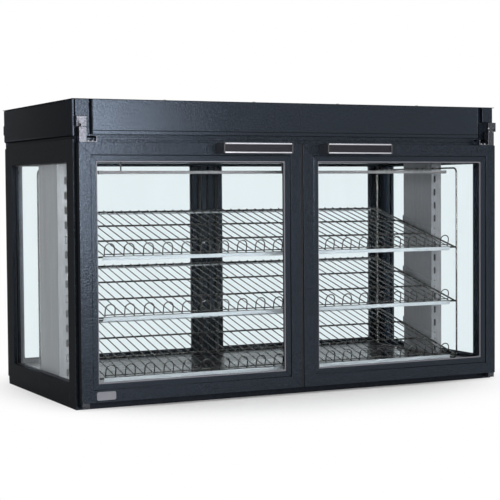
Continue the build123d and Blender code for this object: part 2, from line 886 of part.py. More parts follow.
# Thermostat behind the rear fascia, with a bore for the knob's spindle
fascia_inner_y = fascia_y - housing_sheet
with BuildPart() as thermostat_body:
    half_side = thermostat_side / 2
    block(
        (knob_x - half_side, knob_x + half_side),
        (fascia_inner_y - thermostat_depth, fascia_inner_y),
        (controls_z - half_side, controls_z + half_side),
    )
    with BuildSketch(Plane.XZ.offset(-fascia_inner_y)):
        with Locations((knob_x, controls_z)):
            Circle(spindle_radius + running_gap)
    extrude(amount=thermostat_bore_depth, mode=Mode.SUBTRACT)
save(thermostat_body.part, "thermostat_body")

# Thermostat knob with its grip bar and spindle
knob_back_y = fascia_y + block_gap
with BuildPart() as thermostat_knob:
    with BuildSketch(Plane.XZ.offset(-knob_back_y)):
        with Locations((knob_x, controls_z)):
            Circle(knob_radius)
    extrude(amount=-knob_base, taper=knob_taper)
    block(
        (knob_x - knob_grip / 2, knob_x + knob_grip / 2),
        (knob_back_y, knob_back_y + knob_height),
        (controls_z - knob_radius + knob_grip / 2, controls_z + knob_radius - knob_grip / 2),
    )
    with BuildSketch(Plane.XZ.offset(-knob_back_y)):
        with Locations((knob_x, controls_z)):
            Circle(spindle_radius)
    extrude(amount=block_gap + housing_sheet + thermostat_bore_depth - pin_end_gap)
save(thermostat_knob.part, "thermostat_knob")

# Switch body with its bezel and the well that the rocker tips in
well_half = switch_half_height - switch_wall
rocker_half_width = switch_half_width - switch_wall - rocker_gap
rocker_half_height = well_half - rocker_tip_gap
bezel_y = fascia_y + bezel_thickness
pivot_depth = bezel_y - rocker_crown
with BuildPart() as switch_body:
    block(
        (switch_x - switch_half_width, switch_x + switch_half_width),
        (fascia_y - switch_depth, fascia_y),
        (controls_z - switch_half_height, controls_z + switch_half_height),
    )
    block(
        (switch_x - switch_half_width - bezel_margin, switch_x + switch_half_width + bezel_margin),
        (fascia_y, bezel_y),
        (controls_z - switch_half_height - bezel_margin, controls_z + switch_half_height + bezel_margin),
    )
    block(
        (switch_x - switch_half_width + switch_wall, switch_x + switch_half_width - switch_wall),
        (pivot_depth - well_half, bezel_y),
        (controls_z - well_half, controls_z + well_half),
        mode=Mode.SUBTRACT,
    )
    trunnion_hole = rocker_half_width + trunnion_length + rocker_gap
    with BuildSketch(Plane.YZ.offset(switch_x - trunnion_hole)):
        with Locations((pivot_depth, controls_z)):
            Circle(trunnion_radius + running_gap)
    extrude(amount=2 * trunnion_hole, mode=Mode.SUBTRACT)
save(switch_body.part, "switch_body")

# Power rocker, lying in its off position
crown = rocker_half_height * sin(radians(rocker_tilt))
with BuildPart() as power_rocker:
    with BuildSketch(Plane.YZ.offset(switch_x - rocker_half_width)):
        with Locations(Location((pivot_depth, controls_z), rocker_tilt)):
            Polygon(
                (-rocker_root, -rocker_half_height * cos(radians(rocker_tilt))),
                (rocker_crown - crown / 2, -rocker_half_height * cos(radians(rocker_tilt))),
                (rocker_crown - crown, 0),
                (rocker_crown - crown / 2, rocker_half_height * cos(radians(rocker_tilt))),
                (-rocker_root, rocker_half_height * cos(radians(rocker_tilt))),
                align=None,
            )
    extrude(amount=2 * rocker_half_width)
    with BuildSketch(Plane.YZ.offset(switch_x - rocker_half_width - trunnion_length)):
        with Locations((pivot_depth, controls_z)):
            Circle(trunnion_radius)
    extrude(amount=2 * (rocker_half_width + trunnion_length))
save(power_rocker.part, "power_rocker")

# Cord gland with its nut outside, blanked inside where the cord would enter
with BuildPart() as cord_gland:
    with BuildSketch(Plane.XZ.offset(-(fascia_y + gland_nut_thickness))):
        with Locations((gland_x, controls_z)):
            RegularPolygon(gland_nut_radius, 6)
    extrude(amount=gland_nut_thickness)
    with BuildSketch(Plane.XZ.offset(-(fascia_y + gland_nut_thickness))):
        with Locations((gland_x, controls_z)):
            Circle(gland_dome_radius)
    extrude(amount=-gland_dome_length, taper=gland_dome_taper)
    with BuildSketch(Plane.XZ.offset(-fascia_y)):
        with Locations((gland_x, controls_z)):
            Circle(gland_thread_radius)
    extrude(amount=gland_thread_length)
save(cord_gland.part, "cord_gland")

# Terminal block on the deck inside the gland
with BuildPart() as terminal_block:
    terminal_y = fascia_y - gland_thread_length - terminal_wire_gap - terminal_width
    block(
        (gland_x - terminal_length / 2, gland_x + terminal_length / 2),
        (terminal_y, terminal_y + terminal_width),
        (deck_top, deck_top + terminal_height),
    )
save(terminal_block.part, "terminal_block")

# Pieces of the front left door
door_x = (-door_outer_x, -door_inner_x)
door_z = (door_bottom, door_top)
rebate_low = door_thickness - door_glass_setback - door_glass_thickness - glass_gap
rebate_high = door_thickness - door_glass_setback + glass_gap
bead_front = door_thickness - bead_step
rebate_depth = door_glass_hold + glass_gap
frame_section = [
    (0, 0),
    (frame_width, 0),
    (frame_width, rebate_low),
    (frame_width - rebate_depth, rebate_low),
    (frame_width - rebate_depth, rebate_high),
    (frame_width, rebate_high),
    (frame_width, bead_front),
    (band_width + bead_groove_width, bead_front),
    (band_width + bead_groove_width, bead_front - bead_groove_depth),
    (band_width, bead_front - bead_groove_depth),
    (band_width, door_thickness),
    (0, door_thickness),
]
chamber = [
    (frame_wall, frame_wall),
    (band_width - frame_wall, frame_wall),
    (band_width - frame_wall, door_thickness - frame_wall),
    (frame_wall, door_thickness - frame_wall),
]
door_frame = mitred_lengths(door_x, door_z, -door_back_y, frame_section, chamber)

glass_margin = frame_width - door_glass_hold
glass_y = -door_front_y + door_glass_setback
with BuildPart() as door_glass:
    block(
        (door_x[0] + glass_margin, door_x[1] - glass_margin),
        (glass_y, glass_y + door_glass_thickness),
        (door_z[0] + glass_margin, door_z[1] - glass_margin),
    )

gasket_back_y = -half_depth - seat_gap
gasket_thickness = door_back_y - half_depth - seat_gap
gasket_section = [
    (0, gasket_thickness),
    (0, gasket_lip),
    (gasket_lip, 0),
    (gasket_width - gasket_lip, 0),
    (gasket_width, gasket_lip),
    (gasket_width, gasket_thickness),
]
gasket_lengths = mitred_lengths(
    (door_x[0] + gasket_inset, door_x[1] - gasket_inset),
    (door_z[0] + gasket_inset, door_z[1] - gasket_inset),
    gasket_back_y,
    gasket_section,
)

# The gasket's fifth length closes the gap between the two doors
meeting_strip_y = -door_front_y + meeting_strip_setback
with BuildPart() as door_gasket:
    add(gasket_lengths)
    block((-door_inner_x, -seat_gap), (meeting_strip_y, meeting_strip_y + meeting_strip_depth), door_z)

# Handle channel with its open side to the front
handle_x = (
    -door_inner_x - handle_from_meeting_edge - handle_plate - handle_length,
    -door_inner_x - handle_from_meeting_edge - handle_plate,
)
handle_z = (door_top - handle_height, door_top)
handle_front_y = -door_front_y - handle_reach
with BuildPart() as door_handle:
    block(handle_x, (handle_front_y, handle_front_y + handle_channel_depth), handle_z)
    fillet(door_handle.edges().filter_by(Axis.X), radius=handle_round)
    block(
        handle_x,
        (handle_front_y, handle_front_y + handle_recess),
        (handle_z[0] + handle_lip, handle_z[1] - handle_lip),
        mode=Mode.SUBTRACT,
    )

# End plates that carry the handle off the door
with BuildPart() as handle_ends:
    for plate_x in (handle_x[0] - handle_plate, handle_x[1]):
        block((plate_x, plate_x + handle_plate), (handle_front_y, -door_front_y), handle_z)
    fillet(handle_ends.edges().filter_by(Axis.X).group_by(Axis.Y)[0], radius=handle_round)

# Hinge block with its leaf on top of the door, turned up at the end, and the shoe under the door
leaf_x = (-pivot_x - block_half, -pivot_x - block_half + leaf_length)
block_y = (-pivot_y - block_half, -pivot_y + block_half)
leaf_y = (block_y[0] + tube_wall, block_y[1] - tube_wall)
with BuildPart() as hinge_block:
    block((-pivot_x - block_half, -pivot_x + block_half), block_y, (door_top, block_top))
    block(leaf_x, leaf_y, (door_top, door_top + leaf_thickness))
    block((leaf_x[1] - leaf_thickness, leaf_x[1]), leaf_y, (door_top, door_top + leaf_tab_height))
    block((-pivot_x - block_half, -pivot_x + block_half), block_y, (shoe_bottom, door_bottom))
    with BuildSketch(Plane.XY.offset(door_top + leaf_thickness)):
        with Locations((-pivot_x, -pivot_y)):
            Circle(pin_radius + running_gap)
    extrude(amount=block_top - door_top, mode=Mode.SUBTRACT)
    with BuildSketch(Plane.XY.offset(shoe_bottom)):
        with Locations((-pivot_x, -pivot_y)):
            Circle(pin_radius + running_gap)
    extrude(amount=door_bottom - shoe_bottom - block_gap, mode=Mode.SUBTRACT)

# The same pieces for all four doors
door_pieces = {
    "frame": door_frame,
    "glass": door_glass.part,
    "gasket": door_gasket.part,
    "handle": door_handle.part,
    "handle_ends": handle_ends.part,
    "hinge_block": hinge_block.part,
}
for rear, face in enumerate(("front", "rear")):
    for right, side in enumerate(("left", "right")):
        for piece, shape in door_pieces.items():
            save(in_quarter(shape, right, rear), f"{face}_{side}_door_{piece}")
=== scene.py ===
import json
from math import atan2, cos, pi, radians, sin, sqrt

import bmesh
import bpy
from bpy.props import FloatProperty, FloatVectorProperty, IntProperty, PointerProperty
from mathutils import Matrix, Vector

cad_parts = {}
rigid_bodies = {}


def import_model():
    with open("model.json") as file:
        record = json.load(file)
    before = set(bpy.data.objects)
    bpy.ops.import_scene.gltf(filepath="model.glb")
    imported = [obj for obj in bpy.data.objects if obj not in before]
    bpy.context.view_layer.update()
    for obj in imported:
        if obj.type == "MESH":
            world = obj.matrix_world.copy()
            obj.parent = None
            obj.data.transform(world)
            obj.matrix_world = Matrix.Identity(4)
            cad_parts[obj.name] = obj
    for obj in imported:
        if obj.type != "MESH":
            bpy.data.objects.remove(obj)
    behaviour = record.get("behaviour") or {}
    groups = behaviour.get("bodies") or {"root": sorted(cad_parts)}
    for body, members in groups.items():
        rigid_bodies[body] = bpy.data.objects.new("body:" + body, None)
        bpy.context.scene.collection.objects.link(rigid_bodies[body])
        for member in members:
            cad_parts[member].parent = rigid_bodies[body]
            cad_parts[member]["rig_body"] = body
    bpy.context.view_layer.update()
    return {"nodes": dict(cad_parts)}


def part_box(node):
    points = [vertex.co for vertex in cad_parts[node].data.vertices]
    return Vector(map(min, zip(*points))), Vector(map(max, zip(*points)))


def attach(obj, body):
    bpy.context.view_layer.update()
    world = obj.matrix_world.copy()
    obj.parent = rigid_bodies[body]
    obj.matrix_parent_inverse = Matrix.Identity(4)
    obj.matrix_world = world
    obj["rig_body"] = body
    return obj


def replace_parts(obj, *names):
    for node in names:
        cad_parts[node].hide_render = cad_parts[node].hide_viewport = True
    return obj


bl_info = {
    "name": "Heated Merchandising Cabinet",
    "version": (1, 0, 0),
    "blender": (4, 5, 0),
    "location": "3D View > Sidebar > Cabinet",
    "description": "Dresses a heated merchandising cabinet with its coated metal, glass and wire shelves",
    "category": "Object",
}

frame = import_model()

MM = 0.001
TINY = 1e-5
WELD_GAP = 1e-6
FLAT_ANGLE = radians(1)
SHARP_ANGLE = radians(35)
FACES = {"front": -1, "rear": 1}
SIDES = {"left": -1, "right": 1}
# A door's name is its body's name too
DOORS = [f"{face}_{side}_door" for face in FACES for side in SIDES]
SHELVES = ("lower", "middle", "upper")
FRONT_LAMPS = ("Key", "Low key")
# The band that most of a noise lies in
NOISE_LOW, NOISE_HIGH = 0.36, 0.64
# What a black paint's edge-on colour is dulled by
BLACK_EDGE = (0.2, 0.26, 0.32)
# Depth of a fine grain's relief, and how many times broader the drift in its gloss is
GRAIN_DEPTH = 0.2 * MM
GRAIN_DRIFT = 9

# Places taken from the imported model
body_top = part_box("side_upper_rails")[1].z
half_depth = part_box("corner_posts")[1].y
cover_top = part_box("top_cover")[1].z
fascia_low, fascia_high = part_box("front_fascia")
shelf_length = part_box("lower_shelf")[1].x
stops_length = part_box("shelf_stops")[1].x
brackets_low, brackets_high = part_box("shelf_brackets")
guard_low, guard_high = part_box("side_guards")
knob_low, knob_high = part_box("thermostat_knob")
shelf_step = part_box("middle_shelf")[0].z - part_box("lower_shelf")[0].z


def length(name, millimetres, description):
    """A size that a user can change, written in millimetres."""
    return FloatProperty(
        name=name,
        description=description,
        default=millimetres * MM,
        min=0.0,
        unit="LENGTH",
        subtype="DISTANCE",
    )


def colour(name, red, green, blue, description):
    """A colour that a user can change."""
    return FloatVectorProperty(
        name=name,
        description=description,
        default=(red, green, blue),
        size=3,
        min=0.0,
        max=1.0,
        subtype="COLOR",
    )


def number(name, value, least, description):
    """A count that a user can change."""
    return IntProperty(name=name, description=description, default=value, min=least)


def brightness(name, value, description):
    """A lamp's power, or a level of light, that a user can change."""
    return FloatProperty(name=name, description=description, default=value, min=0.0)


class CabinetSizes(bpy.types.PropertyGroup):
    """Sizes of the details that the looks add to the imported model."""

    sheet_edge: length("Sheet edge", 0.4, "Rounding on folded sheet and small pieces")
    tube_edge: length("Tube edge", 0.9, "Rounding on posts, rails and headers")
    block_edge: length("Block edge", 0.8, "Rounding on hinge blocks, brackets and the light bar")
    moulded_edge: length("Moulded edge", 0.7, "Rounding on moulded plastic")
    glass_edge: length("Glass edge", 0.4, "Ground edge of the panes")
    fascia_bend: length("Fascia bend", 11.0, "Bend radius at each end of the front and rear sheets")
    panel_bend: length("Panel bend", 5.5, "Bend radius at each end of the side panels")
    fascia_lift: length("Fascia lift", 11.5, "Height of the fascia's lower edge over the body")
    fascia_sheet: length("Fascia sheet", 1.5, "Thickness of the fascia's sheet")
    hem_height: length("Hem height", 8.0, "Height of the hem along the fascia's lower edge")
    hem_groove: length("Hem groove", 1.4, "Width of the groove over the hem")
    hem_depth: length("Hem depth", 0.9, "Depth of the groove over the hem")
    recess_inset: length("Recess inset", 13.3, "How far the wall under a fascia stops short of its ends")
    rim_proud: length("Rim", 0.4, "How far the coated rim stands out round the housing deck")
    bead_edge: length("Bead edge", 0.5, "Rounding on the bands and beads of the door frames")
    glass_hold: length("Glass hold", 6.5, "How far a door's frame holds its glass")
    leaf_thickness: length("Leaf thickness", 3.0, "Thickness of the hinge leaf on a door")
    glazing_width: length("Glazing width", 3.0, "Visible width of the silver line round a door's glass")
    glazing_depth: length("Glazing depth", 3.2, "Height of the silver line over the glass")
    glazing_corner: length("Glazing corner", 4.0, "Inner corner radius of the silver line")
    seal_width: length("Seal width", 2.2, "Visible width of the seal round a pane")
    seal_depth: length("Seal depth", 1.6, "Height of a side seal over its glass")
    wire_radius: length("Deck wire radius", 1.5, "Radius of the shelves' deck wires and arches")
    frame_radius: length("Frame wire radius", 2.5, "Radius of the shelves' thick wires and the guards")
    weld_sink: length("Weld sink", 0.4, "How far the deck wires sink into the wires under them")
    arch_radius: length("Arch radius", 13.2, "Radius of the arches along the front of a shelf")
    arch_rise: length("Arch rise", 28.0, "Height of the arches over the wire that they stand on")
    deck_pitch: length("Deck pitch", 26.4, "Distance between the deck wires")
    column_width: length("Column width", 33.5, "Width of the slotted columns")
    column_sheet: length("Column sheet", 1.5, "Thickness of the columns' sheet")
    # The lining behind each slotted wall is a black sheet of painted shade that keeps the column's inside
    # dark
    shade_sheet_gap: length("Lining gap", 4.0, "Room for the hooks between a slotted wall and its lining")
    shelf_setback: length("Shelf setback", 58.0, "How far the shelves stay behind the case's faces")
    ledge_sheet: length("Ledge sheet", 2.0, "Thickness of the ledges that carry the shelves")
    guard_corner: length("Guard corner", 14.0, "Bend radius of the side guards")
    handle_lip: length("Handle lip", 3.5, "Height of the bright lips of a handle")
    handle_recess: length("Handle recess", 3.0, "Depth of the recess between a handle's lips")
    rib_height: length("Rib height", 0.9, "Height of the ribs in a handle's recess")
    screw_radius: length("Screw radius", 4.0, "Radius of the larger screw heads")
    small_screw_radius: length("Small screw radius", 2.4, "Radius of the heads of the cam pins")
    plate_width: length("Plate width", 50.0, "Width of the blank plate on the left door")
    plate_height: length("Plate height", 21.0, "Height of the blank plate on the left door")
    plate_thickness: length("Plate thickness", 1.4, "Thickness of the blank plate")
    tick_length: length("Tick length", 4.0, "Length of the marks round the thermostat knob")
    rib_count: number("Rib count", 6, 1, "Ribs in a handle's recess")
    tick_count: number("Tick count", 10, 2, "Marks round the thermostat knob")
    wire_sides: number("Wire sides", 10, 6, "Sides of a round wire")


class CabinetColours(bpy.types.PropertyGroup):
    """Colours of the finishes."""

    powder: colour("Powder coat", 0.023, 0.028, 0.036, "Blue-black textured coat of the case and the doors")
    base: colour("Base", 0.012, 0.014, 0.018, "Smooth black paint of the base")
    bracket: colour("Brackets", 0.052, 0.054, 0.062, "Coated steel of the hinges")
    glass: colour("Glass", 0.885, 0.935, 0.950, "What a pane lets through")
    floor: colour("Floor plate", 0.030, 0.030, 0.032, "Dark satin floor of the warm space")
    duct: colour("Columns", 0.190, 0.186, 0.195, "Satin steel of the columns and the ceiling")
    zinc: colour("Zinc", 0.400, 0.410, 0.420, "Galvanised sheet inside the housing")
    wire: colour("Wire", 0.105, 0.100, 0.096, "Nickel plated wire")
    strip: colour("Strips", 0.330, 0.340, 0.355, "Light grey coat of the shelf strips")
    aluminium: colour("Aluminium", 0.520, 0.520, 0.560, "Satin anodised handles")
    silver: colour("Glazing line", 0.150, 0.150, 0.170, "Satin line round the doors' glass, and blank plate")
    ribs: colour("Ribs", 0.020, 0.019, 0.024, "Dark ribbed grip of the handles")
    plastic: colour("Plastic", 0.010, 0.010, 0.012, "Moulded black plastic")
    # This black also colours the sheets behind the column slots, which paint the shade inside the columns
    rubber: colour("Rubber", 0.012, 0.012, 0.013, "Gaskets and seals")
    steel: colour("Steel", 0.300, 0.300, 0.310, "Pins and screws")
    light: colour("Light bar", 0.150, 0.140, 0.143, "Unlit diffuser of the light bar")
    motor: colour("Motors", 0.060, 0.065, 0.075, "Grey enamel of the motors")
    element: colour("Elements", 0.160, 0.130, 0.110, "Heat-tinted tube of the heating elements")
    terminal: colour("Terminals", 0.560, 0.510, 0.390, "Cream plastic of the terminals and the thermostat")
    marks: colour("Marks", 0.620, 0.630, 0.640, "Printed marks round the knob")


class CabinetStage(bpy.types.PropertyGroup):
    """Floor, lamps and camera."""

    floor_half: length("Floor half width", 14000.0, "Half the width of the pale floor")
    fade_start: length("Fade start", 450.0, "How far from the middle the floor starts to turn white")
    fade_end: length("Fade end", 800.0, "How far from the middle the floor is white")
    floor_grey: FloatProperty(
        name="Floor grey", description="How pale the floor is", default=0.97, min=0.0, max=1.0
    )
    fill: brightness("Fill", 0.30, "Strength of the light from all round")
    key_power: brightness("Key power", 74.0, "Power of the soft front light")
    low_key_power: brightness("Low key power", 21.0, "Power of the light under the front light")
    top_power: brightness("Top power", 34.0, "Power of the soft light overhead")
    side_power: brightness("Side power", 14.0, "Power of the soft light at the right")
    lens: FloatProperty(
        name="Lens",
        description="Focal length of the camera",
        default=102.65,
        subtype="DISTANCE_CAMERA",
    )
    camera_place: FloatVectorProperty(
        name="Camera place",
        description="Where the camera stands",
        default=(-1.7686, -3.5690, 0.5363),
        size=3,
        subtype="TRANSLATION",
        unit="LENGTH",
    )
    camera_turn: FloatVectorProperty(
        name="Camera turn",
        description="Heading to the right of the cabinet's depth, tilt up, and roll of the camera",
        default=(0.459759, -0.042614, -0.0075227),
        size=3,
        subtype="EULER",
        unit="ROTATION",
    )


# Node helpers, which the finishes and the stage share


def feed(node, inputs):
    """Give a node's inputs a value each, or another node's output."""
    for name, value in inputs.items():
        if isinstance(value, bpy.types.NodeSocket):
            node.id_data.links.new(value, node.inputs[name])
        else:
            node.inputs[name].default_value = value


def new_node(tree, kind, inputs=None, **settings):
    """A node with its settings and inputs."""
    node = tree.nodes.new(kind)
    for name, value in settings.items():
        setattr(node, name, value)
    feed(node, inputs or {})
    return node


def drawn_noise(tree, scale, detail=3.0, stretch=(1.0, 1.0, 1.0)):
    """Noise over the piece's own place, in metres, drawn out by stretch."""
    place = new_node(tree, "ShaderNodeTexCoord")
    drawn = new_node(tree, "ShaderNodeMapping", {"Vector": place.outputs["Object"], "Scale": stretch})
    inputs = {"Vector": drawn.outputs["Vector"], "Scale": scale, "Detail": detail}
    return new_node(tree, "ShaderNodeTexNoise", inputs).outputs["Fac"]


def ranged(tree, value, low, high):
    """The middle band of a noise spread from low to high."""
    inputs = {"Value": value, "From Min": NOISE_LOW, "From Max": NOISE_HIGH, "To Min": low, "To Max": high}
    return new_node(tree, "ShaderNodeMapRange", inputs).outputs["Result"]


def shaded(tree, value, colour, dark, light):
    """A colour that a noise takes from dark to light times its written value."""
    inputs = {"Factor": ranged(tree, value, 0.0, 1.0)}
    for name, share in (("A", dark), ("B", light)):
        inputs[name] = (*(min(1.0, part * share) for part in colour), 1.0)
    return new_node(tree, "ShaderNodeMix", inputs, data_type="RGBA").outputs["Result"]


def bumped(tree, value, strength, depth):
    """Normals of a relief of that depth in metres."""
    inputs = {"Height": value, "Strength": strength, "Distance": depth}
    return new_node(tree, "ShaderNodeBump", inputs).outputs["Normal"]


def show_mixed(tree, share, one, other):
    """Let a material show one shader where share is 0 and the other where it is 1."""
    mix = new_node(tree, "ShaderNodeMixShader", {0: share, 1: one.outputs[0], 2: other.outputs[0]})
    feed(tree.nodes["Material Output"], {"Surface": mix.outputs[0]})


def seen_directly(tree):
    """1 for what the camera, a mirror or glass shows, else 0."""
    path = new_node(tree, "ShaderNodeLightPath")
    value = path.outputs["Is Camera Ray"]
    for name in ("Is Glossy Ray", "Is Transmission Ray"):
        most = new_node(tree, "ShaderNodeMath", {0: value, 1: path.outputs[name]}, operation="MAXIMUM")
        value = most.outputs["Value"]
    return value


def title(name):
    """The name of a finish's material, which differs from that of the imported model's material."""
    return name.replace("_", " ").capitalize()


def new_material(name, metallic=0.0, specular=0.5, edge_tint=(1.0, 1.0, 1.0)):
    """A material with its node tree and plain shader; a dark edge_tint dulls what is seen edge-on."""
    material = bpy.data.materials.new(title(name))
    material.use_nodes = True
    shader = material.node_tree.nodes["Principled BSDF"]
    feed(shader, {"Metallic": metallic, "Specular IOR Level": specular, "Specular Tint": (*edge_tint, 1.0)})
    return material, material.node_tree, shader


def grained(name, colour, rough, grain, relief=0.1, contrast=(0.85, 1.15), stretch=(1.0, 1.0, 1.0), **kind):
    """A finish with a fine grain in colour, gloss and relief; rough is its least and most roughness."""
    material, tree, shader = new_material(name, **kind)
    fine = drawn_noise(tree, grain, stretch=stretch)
    broad = drawn_noise(tree, grain / GRAIN_DRIFT, stretch=stretch)
    inputs = {
        "Base Color": shaded(tree, fine, colour, *contrast),
        "Roughness": ranged(tree, broad, *rough),
        "Normal": bumped(tree, fine, relief, GRAIN_DEPTH),
    }
    feed(shader, inputs)
    return material


# Finishes, one short function each


def powder_coat(colours):
    """Blue-black powder coat: orange-peel relief, fine speckle and a slow drift in gloss."""
    tint = (0.10, 0.16, 0.22)
    material, tree, shader = new_material("powder_coat", metallic=0.8, specular=0.05, edge_tint=tint)
    speckle = drawn_noise(tree, 300.0)
    peel = drawn_noise(tree, 240.0)
    drift = drawn_noise(tree, 9.0, detail=2.0)
    inputs = {
        "Base Color": shaded(tree, speckle, colours.powder, 0.68, 1.45),
        "Roughness": ranged(tree, drift, 0.21, 0.25),
        "Normal": bumped(tree, peel, 0.9, 0.4 * MM),
    }
    feed(shader, inputs)
    return material


def base_black(colours):
    kind = {"metallic": 0.7, "specular": 0.05, "edge_tint": BLACK_EDGE}
    return grained("base_black", colours.base, (0.30, 0.42), 300.0, contrast=(0.7, 1.3), **kind)


def hinge_black(colours):
    kind = {"relief": 0.4, "metallic": 0.85, "specular": 0.1, "edge_tint": BLACK_EDGE}
    return grained("hinge_black", colours.bracket, (0.17, 0.24), 480.0, contrast=(0.6, 1.7), **kind)


def clear_glass(colours):
    """Clear toughened glass: a faint smear in its gloss, and lamps reach what stands behind it."""
    material, tree, shader = new_material("clear_glass")
    smear = drawn_noise(tree, 14.0, stretch=(1.0, 1.0, 0.3))
    inputs = {
        "Transmission Weight": 1.0,
        "IOR": 1.09,
        "Roughness": ranged(tree, smear, 0.0, 0.012),
        "Base Color": shaded(tree, smear, colours.glass, 0.985, 1.0),
    }
    feed(shader, inputs)
    through_one_face = (*(sqrt(part) for part in colours.glass), 1.0)
    clear = new_node(tree, "ShaderNodeBsdfTransparent", {"Color": through_one_face})
    path = new_node(tree, "ShaderNodeLightPath")
    show_mixed(tree, path.outputs["Is Shadow Ray"], shader, clear)
    return material


def floor_steel(colours):
    kind = {"relief": 0.05, "stretch": (0.06, 1.0, 1.0), "metallic": 0.6}
    return grained("floor_steel", colours.floor, (0.22, 0.34), 260.0, **kind)


def duct_steel(colours):
    kind = {"relief": 0.06, "stretch": (1.0, 1.0, 0.05), "metallic": 0.25, "edge_tint": (0.4, 0.4, 0.4)}
    return grained("duct_steel", colours.duct, (0.34, 0.48), 420.0, contrast=(0.88, 1.1), **kind)


def galvanised(colours):
    """Zinc coated sheet with its spangle."""
    material, tree, shader = new_material("galvanised", metallic=0.9)
    place = new_node(tree, "ShaderNodeTexCoord")
    spangle = new_node(tree, "ShaderNodeTexVoronoi", {"Vector": place.outputs["Object"], "Scale": 130.0})
    tone = new_node(tree, "ShaderNodeSeparateColor", {"Color": spangle.outputs["Color"]}).outputs
    inputs = {
        "Base Color": shaded(tree, tone["Red"], colours.zinc, 0.85, 1.12),
        "Roughness": ranged(tree, tone["Green"], 0.32, 0.48),
    }
    feed(shader, inputs)
    return material


def plated_wire(colours):
    return grained("plated_wire", colours.wire, (0.20, 0.34), 700.0, contrast=(0.75, 1.25), metallic=1.0)


def strip_grey(colours):
    return grained("strip_grey", colours.strip, (0.38, 0.50), 500.0, relief=0.08, contrast=(0.92, 1.08))


def handle_aluminium(colours):
    kind = {"relief": 0.08, "contrast": (0.9, 1.1), "stretch": (0.04, 1.0, 1.0), "metallic": 1.0}
    return grained("handle_aluminium", colours.aluminium, (0.24, 0.36), 900.0, **kind)


def glazing_silver(colours):
    kind = {"relief": 0.05, "contrast": (0.9, 1.1), "metallic": 0.3, "edge_tint": (0.5, 0.5, 0.5)}
    return grained("glazing_silver", colours.silver, (0.45, 0.55), 700.0, **kind)


def handle_ribs(colours):
    kind = {"stretch": (0.04, 1.0, 1.0), "metallic": 0.7}
    return grained("handle_ribs", colours.ribs, (0.34, 0.46), 900.0, **kind)


def black_plastic(colours):
    return grained("black_plastic", colours.plastic, (0.34, 0.46), 800.0, relief=0.15, contrast=(0.7, 1.4))


def gasket_rubber(colours):
    return grained("gasket_rubber", colours.rubber, (0.55, 0.70), 400.0, contrast=(0.7, 1.3), specular=0.3)


def pin_steel(colours):
    return grained("pin_steel", colours.steel, (0.35, 0.50), 900.0, contrast=(0.85, 1.1), metallic=1.0)


def light_bar(colours):
    kind = {"relief": 0.04, "contrast": (0.95, 1.05), "specular": 0.1}
    return grained("light_bar", colours.light, (0.45, 0.55), 200.0, **kind)


def motor_grey(colours):
    return grained("motor_grey", colours.motor, (0.32, 0.44), 350.0, relief=0.2, contrast=(0.8, 1.2))


def element_steel(colours):
    return grained("element_steel", colours.element, (0.30, 0.45), 160.0, contrast=(0.6, 1.4), metallic=1.0)


def terminal_cream(colours):
    kind = {"relief": 0.06, "contrast": (0.94, 1.05)}
    return grained("terminal_cream", colours.terminal, (0.40, 0.52), 300.0, **kind)


def dial_marks(colours):
    return grained("dial_marks", colours.marks, (0.45, 0.55), 700.0, relief=0.05, contrast=(0.92, 1.05))


FINISHES = {
    maker.__name__: maker
    for maker in (
        powder_coat,
        base_black,
        hinge_black,
        clear_glass,
        floor_steel,
        duct_steel,
        galvanised,
        plated_wire,
        strip_grey,
        handle_aluminium,
        glazing_silver,
        handle_ribs,
        black_plastic,
        gasket_rubber,
        pin_steel,
        light_bar,
        motor_grey,
        element_steel,
        terminal_cream,
        dial_marks,
    )
}


def finish(name):
    """The material of a finish, made when it is first asked for."""
    return bpy.data.materials.get(title(name)) or FINISHES[name](bpy.context.scene.cabinet_colours)


# Mesh helpers


def loft(bm, rings, closed=False):
    """Skin a row of closed rings; a closed row joins its ends, and an open one is capped."""
    rows = [[bm.verts.new(point) for point in ring] for ring in rings]
    pairs = list(zip(rows, rows[1:]))
    if closed:
        pairs.append((rows[-1], rows[0]))
    for near, far in pairs:
        for one, two in zip(range(len(near)), [*range(1, len(near)), 0]):
            bm.faces.new((near[one], near[two], far[two], far[one]))
    if not closed:
        bm.faces.new(rows[0])
        bm.faces.new(rows[-1])


def slab(bm, one, other):
    """A block between two opposite corners."""
    low, high = (tuple(pick(pair) for pair in zip(one, other)) for pick in (min, max))
    corners = [(low[0], low[1]), (high[0], low[1]), (high[0], high[1]), (low[0], high[1])]
    loft(bm, [[(x, y, z) for x, y in corners] for z in (low[2], high[2])])


def rounded(low, high, radius, steps=6):
    """Points of a rectangle with round corners, anticlockwise, in a plane."""
    radius = max(radius, TINY)
    points = []
    for turn, (x, y) in enumerate(
        (
            (high[0] - radius, high[1] - radius),
            (low[0] + radius, high[1] - radius),
            (low[0] + radius, low[1] + radius),
            (high[0] - radius, low[1] + radius),
        )
    ):
        for step in range(steps + 1):
            angle = (turn + step / steps) * pi / 2
            points.append((x + radius * cos(angle), y + radius * sin(angle)))
    return points


def framed(low, high, section, corner):
    """Rings of a frame inside an opening in a plane; section is (inset, proud) from its outer edge.

    The outer corners are square, and the innermost have the corner's radius.
    """
    widest = max(inset for inset, proud in section)
    outlines = []
    for inset, _ in section:
        near, far = (low[0] + inset, low[1] + inset), (high[0] - inset, high[1] - inset)
        outlines.append(rounded(near, far, corner * inset / widest))
    return [[(u, v, proud) for (u, v), (inset, proud) in zip(at, section)] for at in zip(*outlines)]


def square_to(axis):
    """A direction square to an axis."""
    spare = Vector((0, 0, 1)) if abs(axis.z) < 0.9 else Vector((1, 0, 0))
    return axis.cross(spare).normalized()


